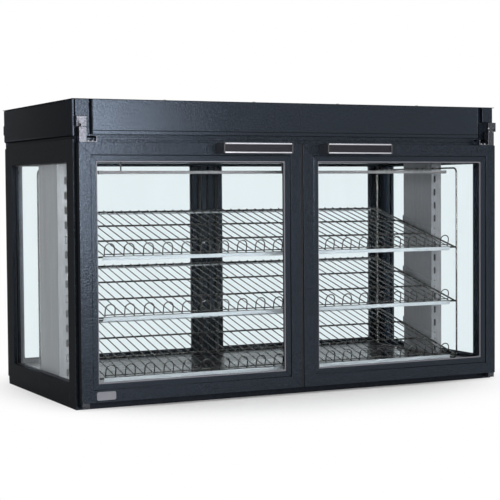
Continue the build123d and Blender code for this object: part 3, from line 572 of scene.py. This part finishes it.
def wire(bm, points, radius, sides, closed=False):
    """A round wire along a row of points that lies in one plane."""
    points = [Vector(point) for point in points]
    count = len(points)
    rings = []
    normal = None
    for index, point in enumerate(points):
        before = points[index - 1] if closed or index else point
        after = points[(index + 1) % count] if closed or index < count - 1 else point
        along = (after - before).normalized()
        if normal is None:
            normal = square_to(along)
        normal = (normal - normal.dot(along) * along).normalized()
        across = along.cross(normal)
        rings.append(
            [
                point + radius * (cos(turn) * normal + sin(turn) * across)
                for turn in (2 * pi * side / sides for side in range(sides))
            ]
        )
    loft(bm, rings, closed)


def turned(bm, place, axis, profile, sides=24, flats=0):
    """A turned piece round an axis from a row of (radius, height); flats shape its first two rings."""
    axis = Vector(axis).normalized()
    normal = square_to(axis)
    across = axis.cross(normal)
    rings = []
    for index, (radius, height) in enumerate(profile):
        ring = []
        for side in range(sides):
            turn = 2 * pi * side / sides
            reach = radius
            if flats and index < 2:
                part = 2 * pi / flats
                reach = radius * cos(part / 2) / cos(turn % part - part / 2)
            ring.append(Vector(place) + axis * height + reach * (cos(turn) * normal + sin(turn) * across))
        rings.append(ring)
    loft(bm, rings)


def screw_head(bm, place, axis, radius):
    """A domed screw head with a six-sided socket; its heights and the socket are shares of its radius."""
    rim, rise = 0.25 * radius, 0.45 * radius
    dome = [(radius * cos(turn), rim + rise * sin(turn)) for turn in (1.05, 0.7, 0.35, 0.0)]
    socket, bottom, top = 0.42 * radius, 0.3 * radius, 0.62 * radius
    turned(bm, place, axis, [(socket, bottom), (socket, top), *dome, (radius, 0.0)], flats=6)


def new_object(name, data):
    """An object that holds data, put in the scene."""
    made = bpy.data.objects.new(name, data)
    bpy.context.scene.collection.objects.link(made)
    return made


def new_mesh(name, bm):
    """A mesh that takes over a bmesh's faces."""
    mesh = bpy.data.meshes.new(name)
    bm.to_mesh(mesh)
    bm.free()
    return mesh


def cut(bm, cutters):
    """What is left of a bmesh when the cutters' space is taken out of it."""
    solids = []
    for source in (bm, cutters):
        bmesh.ops.recalc_face_normals(source, faces=source.faces)
        solids.append(new_object("Cut", new_mesh("Cut", source)))
    solid, cutter = solids
    difference = solid.modifiers.new("Cut", "BOOLEAN")
    difference.operation = "DIFFERENCE"
    difference.object = cutter
    left = bmesh.new()
    left.from_mesh(solid.evaluated_get(bpy.context.evaluated_depsgraph_get()).data)
    for leftover in solids:
        bpy.data.objects.remove(leftover)
    return left


def add_piece(name, bm, finish_name, body, edge=0.0, segments=2):
    """Turn a bmesh into a smooth-shaded piece with soft edges that rides on a body."""
    bmesh.ops.recalc_face_normals(bm, faces=bm.faces)
    mesh = new_mesh(name, bm)
    mesh.materials.append(finish(finish_name))
    mesh.shade_smooth()
    mesh.set_sharp_from_angle(angle=SHARP_ANGLE)
    piece = new_object(name, mesh)
    if edge:
        soft = piece.modifiers.new("Soft edges", "BEVEL")
        soft.width = edge
        soft.segments = segments
        soft.limit_method = "ANGLE"
        soft.angle_limit = SHARP_ANGLE
        soft.harden_normals = True
    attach(piece, body)
    return piece


def face_of(door):
    """The way that a door's face looks along the depth."""
    return FACES[door.split("_")[0]]


def body_of(node):
    return frame["nodes"][node]["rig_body"]


def round_bends(bm, corner, radius, sheet):
    """Bend the upright corners of a folded sheet round, outside and inside."""
    for depth in (0.0, sheet):
        x, y = corner.x - depth, corner.y - depth
        edges = [
            edge
            for edge in bm.edges
            if all(abs(abs(vert.co.x) - x) < TINY and abs(abs(vert.co.y) - y) < TINY for vert in edge.verts)
        ]
        bmesh.ops.bevel(bm, geom=edges, offset=radius - depth, segments=6, profile=0.5, affect="EDGES")


def dress(node, finish_name, edge, segments=2, bend=0.0, sheet=0.0):
    """A copy of a node's faces, cleaned and with soft edges, that stands for the node.

    A bend rounds the outermost upright corners of a node folded from sheet.
    """
    bm = bmesh.new()
    bm.from_mesh(frame["nodes"][node].data)
    bmesh.ops.remove_doubles(bm, verts=bm.verts, dist=WELD_GAP)
    bmesh.ops.dissolve_limit(bm, angle_limit=FLAT_ANGLE, verts=bm.verts, edges=bm.edges)
    if bend:
        round_bends(bm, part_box(node)[1], bend, sheet)
    piece = add_piece(f"{node}_soft_edged", bm, finish_name, body_of(node), edge, segments)
    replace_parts(piece, node)
    return piece


def spare_front_light(piece):
    """Keep the front lamps off a flat top, which would mirror them to a viewer behind the cabinet."""
    for name in FRONT_LAMPS:
        linking = bpy.data.objects[name].light_linking
        if not linking.receiver_collection:
            linking.receiver_collection = bpy.data.collections.new(f"{name} spares")
        linking.receiver_collection.objects.link(piece)
        for spared in linking.receiver_collection.collection_objects:
            spared.light_linking.link_state = "EXCLUDE"


class CabinetOperator(bpy.types.Operator):
    """What every step of the cabinet shares"""

    bl_options = {"REGISTER", "UNDO"}

    @classmethod
    def poll(cls, context):
        return bool(frame["nodes"])


class CABINET_OT_stage(CabinetOperator):
    """Lay the pale floor, set the lamps and place the camera"""

    bl_idname = "cabinet.stage"
    bl_label = "Stage"

    def execute(self, context):
        stage = context.scene.cabinet_stage
        context.scene.view_settings.view_transform = "Standard"
        self.set_world(context.scene, stage)
        self.lay_floor(stage)
        self.place_camera(context.scene, stage)
        # Each lamp's name, power, place, target, and width and height, in metres
        lamps = (
            ("Key", stage.key_power, (-1.335, -3.15, 0.91), (-1.335, 0.0, 0.88), (3.53, 0.46)),
            ("Low key", stage.low_key_power, (-0.05, -3.15, 0.47), (-0.05, 0.0, 0.47), (1.0, 0.42)),
            ("Top", stage.top_power, (0.0, -0.3, 2.7), (0.0, 0.0, 0.0), (2.4, 1.8)),
            ("Side", stage.side_power, (2.9, -1.6, 1.3), (0.3, 0.0, 0.4), (1.2, 1.6)),
        )
        for name, power, place, target, size in lamps:
            self.set_lamp(name, power, place, target, size)
        return {"FINISHED"}

    def set_world(self, scene, stage):
        """White where it is seen, in mirrors and through glass too, and a softer light elsewhere."""
        world = bpy.data.worlds.new("Studio")
        world.use_nodes = True
        tree = world.node_tree
        inputs = {"Value": seen_directly(tree), "To Min": stage.fill, "To Max": 1.0}
        level = new_node(tree, "ShaderNodeMapRange", inputs)
        feed(tree.nodes["Background"], {"Color": (1.0, 1.0, 1.0, 1.0), "Strength": level.outputs["Result"]})
        scene.world = world

    def lay_floor(self, stage):
        """A pale floor, on which the cabinet's shadow falls."""
        half = stage.floor_half
        corners = ((-half, -half), (half, -half), (half, half), (-half, half))
        bm = bmesh.new()
        bm.faces.new([bm.verts.new((x, y, 0.0)) for x, y in corners])
        floor = new_object("Floor", new_mesh("Floor", bm))
        floor.data.materials.append(self.pale_floor(stage))

    def pale_floor(self, stage):
        """Pale and matt under the cabinet, and white further out where it is seen directly."""
        material, tree, shader = new_material("pale_floor", specular=0.1)
        feed(shader, {"Base Color": (*[stage.floor_grey] * 3, 1.0), "Roughness": 0.9})
        place = new_node(tree, "ShaderNodeTexCoord")
        reach = new_node(tree, "ShaderNodeVectorMath", {0: place.outputs["Object"]}, operation="LENGTH")
        inputs = {
            "Value": reach.outputs["Value"],
            "From Min": stage.fade_start,
            "From Max": stage.fade_end,
        }
        fade = new_node(tree, "ShaderNodeMapRange", inputs, interpolation_type="SMOOTHSTEP")
        inputs = {0: fade.outputs["Result"], 1: seen_directly(tree)}
        share = new_node(tree, "ShaderNodeMath", inputs, operation="MULTIPLY")
        show_mixed(tree, share.outputs["Value"], shader, new_node(tree, "ShaderNodeEmission"))
        return material

    def place_camera(self, scene, stage):
        """The camera at the height and heading from which the cabinet was seen."""
        heading, tilt, roll = stage.camera_turn
        forward = Vector((sin(heading) * cos(tilt), cos(heading) * cos(tilt), sin(tilt)))
        level = Vector((cos(heading), -sin(heading), 0.0))
        upright = level.cross(forward)
        right = cos(roll) * level + sin(roll) * upright
        up = cos(roll) * upright - sin(roll) * level
        camera = new_object("Camera", bpy.data.cameras.new("Camera"))
        camera.data.sensor_fit = "HORIZONTAL"
        camera.data.sensor_width = 36.0
        camera.data.lens = stage.lens
        turn = Matrix((right, up, -forward)).transposed().to_4x4()
        camera.matrix_world = Matrix.Translation(stage.camera_place) @ turn
        scene.camera = camera

    def set_lamp(self, name, power, place, target, size):
        """A soft rectangular lamp turned towards a point."""
        lamp = bpy.data.lights.new(name, "AREA")
        lamp.shape = "RECTANGLE"
        lamp.size, lamp.size_y = size
        lamp.energy = power
        lamp_object = new_object(name, lamp)
        lamp_object.location = place
        aim = Vector(target) - Vector(place)
        lamp_object.rotation_euler = aim.to_track_quat("-Z", "Y").to_euler()
        lamp_object.visible_camera = False


class CABINET_OT_case_frame(CabinetOperator):
    """Dress the posts, rails and headers"""

    bl_idname = "cabinet.case_frame"
    bl_label = "Posts, rails and headers"

    def execute(self, context):
        sizes = context.scene.cabinet_sizes
        for node in ("corner_posts", "side_lower_rails", "side_upper_rails", "door_headers"):
            dress(node, "powder_coat", sizes.tube_edge)
        return {"FINISHED"}


class CABINET_OT_base(CabinetOperator):
    """Dress the base pan and the floor plate"""

    bl_idname = "cabinet.base"
    bl_label = "Base and floor plate"

    def execute(self, context):
        sizes = context.scene.cabinet_sizes
        dress("base_pan", "base_black", sizes.sheet_edge)
        spare_front_light(dress("floor_plate", "floor_steel", sizes.sheet_edge))
        return {"FINISHED"}


class CABINET_OT_side_glasses(CabinetOperator):
    """Glaze the two sides and lay a seal round each pane"""

    bl_idname = "cabinet.side_glasses"
    bl_label = "Side glasses"

    def execute(self, context):
        sizes = context.scene.cabinet_sizes
        dress("side_glasses", "clear_glass", sizes.glass_edge)
        glass_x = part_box("side_glasses")[1].x
        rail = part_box("side_lower_rails")[1]
        low = (-rail.y, rail.z)
        high = (rail.y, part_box("side_upper_rails")[0].z)
        section = ((0.0, 0.0), (0.0, sizes.seal_depth), (sizes.seal_width, 0.0))
        bm = bmesh.new()
        for side in SIDES.values():
            rings = framed(low, high, section, sizes.seal_width)
            placed = [[(side * (glass_x + proud), y, z) for y, z, proud in ring] for ring in rings]
            loft(bm, placed, closed=True)
        add_piece("side_glass_seals", bm, "gasket_rubber", "cabinet")
        return {"FINISHED"}


class CABINET_OT_housing(CabinetOperator):
    """Dress the top housing: side panels, deck with its rim, and cover with its screws"""

    bl_idname = "cabinet.housing"
    bl_label = "Top housing"

    def execute(self, context):
        sizes = context.scene.cabinet_sizes
        bends = {"bend": sizes.panel_bend, "sheet": sizes.fascia_sheet}
        dress("housing_sides", "powder_coat", sizes.sheet_edge, **bends)
        dress("housing_deck", "galvanised", sizes.sheet_edge)
        self.add_deck_rim(sizes)
        spare_front_light(dress("top_cover", "powder_coat", sizes.sheet_edge))
        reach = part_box("top_cover")[1]
        from_edge = 14 * MM
        line_x, line_y = reach.x - from_edge, reach.y - from_edge
        # The screws' places along the sides and along the faces, as shares of half the depth and width
        side_shares = (-0.9, -0.3, 0.3, 0.9)
        face_shares = (-0.6, -0.2, 0.2, 0.6)
        places = [(side * line_x, share * line_y) for side in SIDES.values() for share in side_shares]
        places += [(share * reach.x, face * line_y) for face in FACES.values() for share in face_shares]
        bm = bmesh.new()
        for x, y in places:
            screw_head(bm, (x, y, cover_top), (0, 0, 1), sizes.screw_radius)
        add_piece("cover_screws", bm, "pin_steel", "cabinet")
        return {"FINISHED"}

    def add_deck_rim(self, sizes):
        """The coated rim that closes the deck's cut edge."""
        low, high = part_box("housing_deck")
        proud = sizes.rim_proud
        section = ((0.0, low.z), (0.0, high.z), (2 * proud, high.z), (2 * proud, low.z))
        rings = framed((low.x - proud, low.y - proud), (high.x + proud, high.y + proud), section, proud)
        bm = bmesh.new()
        loft(bm, rings, closed=True)
        add_piece("deck_rim", bm, "powder_coat", "cabinet")


class CABINET_OT_fascias(CabinetOperator):
    """Bend the front and rear fascias with round ends and a hem"""

    bl_idname = "cabinet.fascias"
    bl_label = "Fascias"

    def execute(self, context):
        sizes = context.scene.cabinet_sizes
        bottom = body_top + sizes.fascia_lift
        for name, face in FACES.items():
            bm = bmesh.new()
            self.bend_face(bm, sizes, face, bottom)
            if name == "rear":
                bm = cut(bm, self.control_holes())
            underside = [(x, face * y) for x, y in self.line(sizes, sizes.fascia_sheet)]
            loft(bm, [[(x, y, z) for x, y in underside] for z in (bottom, bottom + sizes.fascia_sheet)])
            recess = fascia_high.x - sizes.recess_inset
            outside, inside = face * -fascia_high.y, face * (sizes.fascia_sheet - fascia_high.y)
            slab(bm, (-recess, outside, fascia_low.z), (recess, inside, bottom))
            fascia = add_piece(f"{name}_fascia_bent", bm, "powder_coat", "cabinet", sizes.sheet_edge)
            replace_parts(fascia, f"{name}_fascia")
        return {"FINISHED"}

    def line(self, sizes, inset):
        """The sheet's line in plan, moved inwards: from one rear edge, round both bends, to the other."""
        half, front, bend = fascia_high.x, -fascia_low.y, sizes.fascia_bend
        radius = bend - inset
        steps = 8
        left = [(inset - half, half_depth)]
        for step in range(steps + 1):
            angle = step / steps * pi / 2
            left.append((bend - half - radius * cos(angle), front - bend + radius * sin(angle)))
        return left + [(-x, y) for x, y in reversed(left)]

    def bend_face(self, bm, sizes, face, bottom):
        """The face with the groove over its hem."""
        top = fascia_high.z
        hem = bottom + sizes.hem_height
        slope = sizes.hem_groove / 4
        section = [
            (0.0, bottom),
            (0.0, hem),
            (sizes.hem_depth, hem + slope),
            (sizes.hem_depth, hem + sizes.hem_groove - slope),
            (0.0, hem + sizes.hem_groove),
            (0.0, top),
            (sizes.fascia_sheet, top),
            (sizes.fascia_sheet, bottom),
        ]
        lines = [self.line(sizes, inset) for inset, z in section]
        rings = []
        for station in zip(*lines):
            rings.append([(x, face * y, z) for (x, y), (inset, z) in zip(station, section)])
        loft(bm, rings)

    def control_holes(self):
        """Cutters for the spindle, the switch and the gland."""
        reach = 4 * MM
        spindle_hole = 3.5 * MM
        gland_hole = 10.3 * MM
        bezel = 2.2 * MM
        front = -fascia_low.y
        knob = (knob_low + knob_high) / 2
        gland_low, gland_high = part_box("cord_gland")
        gland = (gland_low + gland_high) / 2
        bm = bmesh.new()
        for centre, radius in ((knob, spindle_hole), (gland, gland_hole)):
            turned(bm, (centre.x, front - reach, centre.z), (0, 1, 0), [(radius, 0.0), (radius, 2 * reach)])
        switch_low, switch_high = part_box("switch_body")
        slab(
            bm,
            (switch_low.x + bezel, front - reach, switch_low.z + bezel),
            (switch_high.x - bezel, front + reach, switch_high.z - bezel),
        )
        return bm


class CABINET_OT_hinges(CabinetOperator):
    """Dress the hinge covers, brackets and pins, and set the cam pin of each face's right-hand bracket"""

    bl_idname = "cabinet.hinges"
    bl_label = "Fixed hinge pieces"

    def execute(self, context):
        sizes = context.scene.cabinet_sizes
        dress("hinge_covers", "powder_coat", sizes.sheet_edge * 2, segments=3)
        dress("hinge_brackets", "hinge_black", sizes.block_edge, segments=3)
        dress("hinge_pins", "pin_steel", sizes.sheet_edge)
        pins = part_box("hinge_pins")[1]
        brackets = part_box("hinge_brackets")[1]
        from_pin = 12 * MM
        from_top = 16 * MM
        bm = bmesh.new()
        for face in FACES.values():
            place = (-face * (pins.x - from_pin), face * brackets.y, brackets.z - from_top)
            screw_head(bm, place, (0, face, 0), sizes.small_screw_radius)
        add_piece("hinge_cam_pins", bm, "pin_steel", "cabinet")
        return {"FINISHED"}


class CABINET_OT_columns(CabinetOperator):
    """Dress the slotted columns and put a black sheet of painted shade behind their slots, and dress the
    shelf brackets and the ceiling plate
    """

    bl_idname = "cabinet.columns"
    bl_label = "Columns and ceiling"

    def execute(self, context):
        sizes = context.scene.cabinet_sizes
        dress("air_ducts", "duct_steel", sizes.sheet_edge)
        self.paint_column_shade(sizes)
        dress("shelf_brackets", "duct_steel", sizes.sheet_edge)
        dress("ceiling_plate", "duct_steel", sizes.sheet_edge / 2)
        return {"FINISHED"}

    def paint_column_shade(self, sizes):
        """A black sheet behind each slotted wall that paints the shade inside the column, so that the slots
        read dark.
        """
        low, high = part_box("air_ducts")
        sheet, gap = sizes.column_sheet, sizes.shade_sheet_gap
        bm = bmesh.new()
        for side in SIDES.values():
            outer, inner = side * (high.x - sheet), side * (high.x - sizes.column_width + sheet)
            for face in FACES.values():
                near, far = face * (high.y - sheet - gap), face * (high.y - sheet - gap - sheet)
                slab(bm, (outer, near, low.z + gap), (inner, far, high.z - gap))
        add_piece("column_linings", bm, "gasket_rubber", "cabinet")


class CABINET_OT_shelves(CabinetOperator):
    """Weld the wire shelves with their arches, and dress the strips"""

    bl_idname = "cabinet.shelves"
    bl_label = "Shelves"

    def execute(self, context):
        sizes = context.scene.cabinet_sizes
        for level, name in enumerate(SHELVES):
            deck = bmesh.new()
            self.weld_deck(deck, sizes, level)
            shelf = add_piece(f"{name}_wire_shelf", deck, "plated_wire", "cabinet")
            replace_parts(shelf, f"{name}_shelf")
        stops = bmesh.new()
        for level in range(len(SHELVES)):
            self.bend_stops(stops, sizes, level)
        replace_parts(add_piece("shelf_arch_rows", stops, "plated_wire", "cabinet"), "shelf_stops")
        dress("shelf_strips", "strip_grey", sizes.sheet_edge)
        return {"FINISHED"}

    def lay_wire(self, bm, sizes, level, points, radius):
        """A wire on the sloping ledges, from points on the shelf drawn level and counted up from them."""
        slots_between_shelves = 4
        hook_y = brackets_high.y - sizes.ledge_sheet / 2
        slope = shelf_step / slots_between_shelves / (2 * hook_y)
        tilt = atan2(slope, 1)
        ledge_z = brackets_low.z + sizes.ledge_sheet * (1 + slope / 2) + level * shelf_step
        placed = []
        for x, y, rise in points:
            back = y + hook_y
            tilted_y = back * cos(tilt) - rise * sin(tilt) - hook_y
            placed.append((x, tilted_y, ledge_z + back * sin(tilt) + rise * cos(tilt)))
        wire(bm, placed, radius, sizes.wire_sides)

    def wire_places(self, sizes):
        """Where the deck wires lie, in even steps out from the middle."""
        count = 2 * round((stops_length + sizes.wire_radius) / sizes.deck_pitch)
        return [(index - (count - 1) / 2) * sizes.deck_pitch for index in range(count)]

    def weld_deck(self, bm, sizes, level):
        """Side and cross wires, and the deck wires on them."""
        thick, thin = sizes.frame_radius, sizes.wire_radius
        deck_rise = 2 * thick + thin - sizes.weld_sink
        reach = half_depth - sizes.shelf_setback
        for side in SIDES.values():
            x = side * (shelf_length - thick)
            self.lay_wire(bm, sizes, level, [(x, -reach, thick), (x, reach, thick)], thick)
        cross_wires = 4
        for index in range(cross_wires):
            y = (reach - thick) * (2 * index / (cross_wires - 1) - 1)
            self.lay_wire(bm, sizes, level, [(-shelf_length, y, thick), (shelf_length, y, thick)], thick)
        for x in self.wire_places(sizes):
            self.lay_wire(bm, sizes, level, [(x, -reach, deck_rise), (x, reach, deck_rise)], thin)

    def bend_stops(self, bm, sizes, level):
        """A wire along the front with a row of arches on it."""
        thin, bend = sizes.wire_radius, sizes.arch_radius
        y = sizes.shelf_setback + sizes.frame_radius + thin - half_depth
        foot = 2 * sizes.frame_radius + 3 * thin - sizes.weld_sink
        crown = foot + sizes.arch_rise - bend
        places = self.wire_places(sizes)
        self.lay_wire(bm, sizes, level, [(places[0], y, foot), (places[-1], y, foot)], thin)
        steps = 8
        for left, right in zip(places[::2], places[1::2]):
            middle = (left + right) / 2
            points = [(left, y, foot)]
            for step in range(steps + 1):
                angle = pi * (1 - step / steps)
                points.append((middle + bend * cos(angle), y, crown + bend * sin(angle)))
            points.append((right, y, foot))
            self.lay_wire(bm, sizes, level, points, thin)


class CABINET_OT_guards(CabinetOperator):
    """Bend the wire guards inside the side glasses"""

    bl_idname = "cabinet.guards"
    bl_label = "Side guards"

    def execute(self, context):
        sizes = context.scene.cabinet_sizes
        radius = sizes.frame_radius
        low = (guard_low.y + radius, guard_low.z + radius)
        high = (guard_high.y - radius, guard_high.z - radius)
        bm = bmesh.new()
        for side in SIDES.values():
            x = side * (guard_high.x - radius)
            loop = [(x, y, z) for y, z in rounded(low, high, sizes.guard_corner)]
            wire(bm, loop, radius, sizes.wire_sides, closed=True)
        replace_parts(add_piece("side_guard_wires", bm, "plated_wire", "cabinet"), "side_guards")
        return {"FINISHED"}


class CABINET_OT_light_bar(CabinetOperator):
    """Dress the light bar with its end caps"""

    bl_idname = "cabinet.light_bar"
    bl_label = "Light bar"

    def execute(self, context):
        sizes = context.scene.cabinet_sizes
        dress("light_bar", "light_bar", sizes.block_edge, segments=3)
        low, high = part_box("light_bar")
        bar_height = 8 * MM
        cap = 10 * MM
        proud = 0.5 * MM
        bm = bmesh.new()
        for side in SIDES.values():
            outer = (side * (high.x + proud), high.y + proud, low.z + bar_height + proud)
            slab(bm, (side * (high.x - cap), low.y - proud, low.z - proud), outer)
        add_piece("light_bar_caps", bm, "light_bar", "cabinet", sizes.sheet_edge)
        return {"FINISHED"}


class CABINET_OT_blowers(CabinetOperator):
    """Dress the motors, impellers, heating elements and terminal block"""

    bl_idname = "cabinet.blowers"
    bl_label = "Blowers and elements"

    def execute(self, context):
        sizes = context.scene.cabinet_sizes
        dress("blower_motors", "motor_grey", sizes.sheet_edge)
        dress("heating_elements", "element_steel", sizes.sheet_edge / 2)
        for side in SIDES:
            dress(f"{side}_blower_impeller", "galvanised", sizes.sheet_edge / 2)
        dress("terminal_block", "terminal_cream", sizes.moulded_edge)
        return {"FINISHED"}


class CABINET_OT_controls(CabinetOperator):
    """Dress the rear controls and the gland, and print the knob's pointer and the marks round it"""

    bl_idname = "cabinet.controls"
    bl_label = "Controls"

    def execute(self, context):
        sizes = context.scene.cabinet_sizes
        dress("thermostat_body", "terminal_cream", sizes.moulded_edge)
        dress("thermostat_knob", "black_plastic", sizes.moulded_edge, segments=3)
        dress("switch_body", "black_plastic", sizes.moulded_edge / 2)
        dress("power_rocker", "black_plastic", sizes.moulded_edge / 2)
        dress("cord_gland", "black_plastic", sizes.sheet_edge)
        self.print_marks(sizes)
        self.add_pointer()
        return {"FINISHED"}

    def print_marks(self, sizes):
        """Marks from the knob's rest, round three quarters of a turn."""
        knob = (knob_low + knob_high) / 2
        gap = 4 * MM
        sweep = radians(270)
        radius = (knob_high.x - knob_low.x) / 2 + gap
        face = -fascia_low.y
        half_width = 0.5 * MM
        proud = 0.15 * MM
        bm = bmesh.new()
        for index in range(sizes.tick_count):
            turn = pi / 2 - sweep * index / (sizes.tick_count - 1)
            along = Vector((-cos(turn), 0, sin(turn)))
            across = Vector((along.z, 0, -along.x)) * half_width
            start = Vector((knob.x, face, knob.z)) + along * radius
            end = start + along * sizes.tick_length
            ring = [start - across, start + across, end + across, end - across]
            loft(bm, [ring, [point + Vector((0, proud, 0)) for point in ring]])
        add_piece("thermostat_marks", bm, "dial_marks", "cabinet")

    def add_pointer(self):
        """The white line along the knob's grip, which points up at rest."""
        knob = (knob_low + knob_high) / 2
        half_width = 0.8 * MM
        sink = 0.1 * MM
        proud = 0.2 * MM
        from_middle = 2 * MM
        from_rim = 4 * MM
        bm = bmesh.new()
        slab(
            bm,
            (knob.x - half_width, knob_high.y - sink, knob.z + from_middle),
            (knob.x + half_width, knob_high.y + proud, knob_high.z - from_rim),
        )
        add_piece("thermostat_pointer", bm, "dial_marks", "thermostat_knob")


class CABINET_OT_door_frames(CabinetOperator):
    """Dress the mitred frames and gaskets of the four doors"""

    bl_idname = "cabinet.door_frames"
    bl_label = "Door frames"

    def execute(self, context):
        sizes = context.scene.cabinet_sizes
        for door in DOORS:
            dress(f"{door}_frame", "powder_coat", sizes.bead_edge)
            dress(f"{door}_gasket", "gasket_rubber", sizes.sheet_edge)
        return {"FINISHED"}


class CABINET_OT_door_glasses(CabinetOperator):
    """Glaze the doors, with the silver line outside and the seal inside"""

    bl_idname = "cabinet.door_glasses"
    bl_label = "Door glasses"

    def execute(self, context):
        sizes = context.scene.cabinet_sizes
        hold = sizes.glass_hold
        width, height = sizes.glazing_width, sizes.glazing_depth
        # The line's inner upper edge is cut off slantwise
        cut_x, cut_y = width * 0.8, height * 0.7
        line = ((0.0, 0.0), (0.0, height), (cut_x, height), (width, cut_y), (width, 0.0))
        seal_width = sizes.seal_width
        seal = ((0.0, 0.0), (0.0, seal_width), (seal_width, 0.0))
        for door in DOORS:
            face = face_of(door)
            dress(f"{door}_glass", "clear_glass", sizes.glass_edge)
            low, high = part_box(f"{door}_glass")
            opening = ((low.x + hold, low.z + hold), (high.x - hold, high.z - hold))
            outer_y, inner_y = (low.y, high.y) if face < 0 else (high.y, low.y)
            for name, section, finish_name, glass_y, way in (
                ("glazing_line", line, "glazing_silver", outer_y, face),
                ("glass_seal", seal, "gasket_rubber", inner_y, -face),
            ):
                bm = bmesh.new()
                rings = framed(*opening, section, sizes.glazing_corner)
                placed = [[(x, glass_y + way * out, z) for x, z, out in ring] for ring in rings]
                loft(bm, placed, closed=True)
                add_piece(f"{door}_{name}", bm, finish_name, door)
        return {"FINISHED"}


class CABINET_OT_door_handles(CabinetOperator):
    """Dress the handles and their end plates, and lay the ribbed grips"""

    bl_idname = "cabinet.door_handles"
    bl_label = "Door handles"

    def execute(self, context):
        sizes = context.scene.cabinet_sizes
        # Outline of a rib, as shares of the pitch and of the height
        rib_outline = ((0.12, 0.2), (0.3, 1.0), (0.7, 1.0), (0.88, 0.2))
        for door in DOORS:
            face = face_of(door)
            dress(f"{door}_handle", "handle_aluminium", sizes.sheet_edge)
            dress(f"{door}_handle_ends", "black_plastic", sizes.moulded_edge)
            low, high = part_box(f"{door}_handle")
            reach = low.y if face < 0 else high.y
            floor_y = reach - face * sizes.handle_recess
            bottom, top = low.z + sizes.handle_lip, high.z - sizes.handle_lip
            pitch = (top - bottom) / sizes.rib_count
            profile = [(0.0, bottom)]
            for rib in range(sizes.rib_count):
                start = bottom + rib * pitch
                for part, height in rib_outline:
                    profile.append((height * sizes.rib_height, start + part * pitch))
            profile.append((0.0, top))
            bm = bmesh.new()
            loft(bm, [[(x, floor_y + face * out, z) for out, z in profile] for x in (low.x, high.x)])
            add_piece(f"{door}_handle_ribs", bm, "handle_ribs", door)
        return {"FINISHED"}


class CABINET_OT_door_hinges(CabinetOperator):
    """Dress the hinge blocks on the doors and set the screws in their leaves"""

    bl_idname = "cabinet.door_hinges"
    bl_label = "Door hinge blocks"

    def execute(self, context):
        sizes = context.scene.cabinet_sizes
        leaf_screws = (25 * MM, 37 * MM)
        for door in DOORS:
            dress(f"{door}_hinge_block", "hinge_black", sizes.block_edge, segments=3)
            low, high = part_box(f"{door}_hinge_block")
            frame_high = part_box(f"{door}_frame")[1]
            side = SIDES[door.split("_")[1]]
            outer = low.x if side < 0 else high.x
            leaf_top = frame_high.z + sizes.leaf_thickness
            bm = bmesh.new()
            for from_outer in leaf_screws:
                place = (outer - side * from_outer, (low.y + high.y) / 2, leaf_top)
                screw_head(bm, place, (0, 0, 1), sizes.screw_radius)
            add_piece(f"{door}_leaf_screws", bm, "pin_steel", door)
        return {"FINISHED"}


class CABINET_OT_blank_plate(CabinetOperator):
    """Fix the small blank plate at the foot of the front left door"""

    bl_idname = "cabinet.blank_plate"
    bl_label = "Blank plate"

    def execute(self, context):
        sizes = context.scene.cabinet_sizes
        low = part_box("front_left_door_frame")[0]
        from_side = 63.3 * MM
        from_foot = 16.0 * MM
        corner_share = 0.45
        least_corner = 0.5 * MM
        # Steps from the rim to the middle: millimetres inwards, and share of the thickness
        relief = ((0.0, 0.0), (0.0, 0.7), (0.5, 1.0), (1.6, 1.0), (2.0, 0.75), (4.0, 0.7))
        centre = (low.x + from_side, low.z + from_foot)
        half = (sizes.plate_width / 2, sizes.plate_height / 2)
        rings = []
        for inset, proud in relief:
            inset *= MM
            corner = max(half[1] * corner_share - inset, least_corner)
            outline = rounded(
                (centre[0] - half[0] + inset, centre[1] - half[1] + inset),
                (centre[0] + half[0] - inset, centre[1] + half[1] - inset),
                corner,
            )
            rings.append([(x, low.y - proud * sizes.plate_thickness, z) for x, z in outline])
        bm = bmesh.new()
        loft(bm, rings)
        add_piece("blank_plate", bm, "glazing_silver", "front_left_door")
        return {"FINISHED"}


class CABINET_PT_panel(bpy.types.Panel):
    """The steps that make the cabinet, with its sizes and colours"""

    bl_idname = "CABINET_PT_panel"
    bl_label = "Merchandising cabinet"
    bl_space_type = "VIEW_3D"
    bl_region_type = "UI"
    bl_category = "Cabinet"

    def draw(self, context):
        steps = self.layout.column(align=True)
        for operator in STEPS:
            steps.operator(operator.bl_idname)
        for heading, group in (
            ("Sizes", context.scene.cabinet_sizes),
            ("Colours", context.scene.cabinet_colours),
            ("Stage", context.scene.cabinet_stage),
        ):
            box = self.layout.box()
            box.label(text=heading)
            for name in group.__annotations__:
                box.prop(group, name)


STEPS = (
    CABINET_OT_stage,
    CABINET_OT_case_frame,
    CABINET_OT_base,
    CABINET_OT_side_glasses,
    CABINET_OT_housing,
    CABINET_OT_fascias,
    CABINET_OT_hinges,
    CABINET_OT_columns,
    CABINET_OT_shelves,
    CABINET_OT_guards,
    CABINET_OT_light_bar,
    CABINET_OT_blowers,
    CABINET_OT_controls,
    CABINET_OT_door_frames,
    CABINET_OT_door_glasses,
    CABINET_OT_door_handles,
    CABINET_OT_door_hinges,
    CABINET_OT_blank_plate,
)
SETTINGS = {
    "cabinet_sizes": CabinetSizes,
    "cabinet_colours": CabinetColours,
    "cabinet_stage": CabinetStage,
}


def register():
    for item in (*SETTINGS.values(), *STEPS, CABINET_PT_panel):
        bpy.utils.register_class(item)
    for name, group in SETTINGS.items():
        setattr(bpy.types.Scene, name, PointerProperty(type=group))


def unregister():
    for name in SETTINGS:
        delattr(bpy.types.Scene, name)
    for item in (CABINET_PT_panel, *reversed(STEPS), *reversed(SETTINGS.values())):
        bpy.utils.unregister_class(item)


def main():
    register()
    for operator in STEPS:
        family, step = operator.bl_idname.split(".")
        getattr(getattr(bpy.ops, family), step)()


if __name__ == "__main__":
    main()
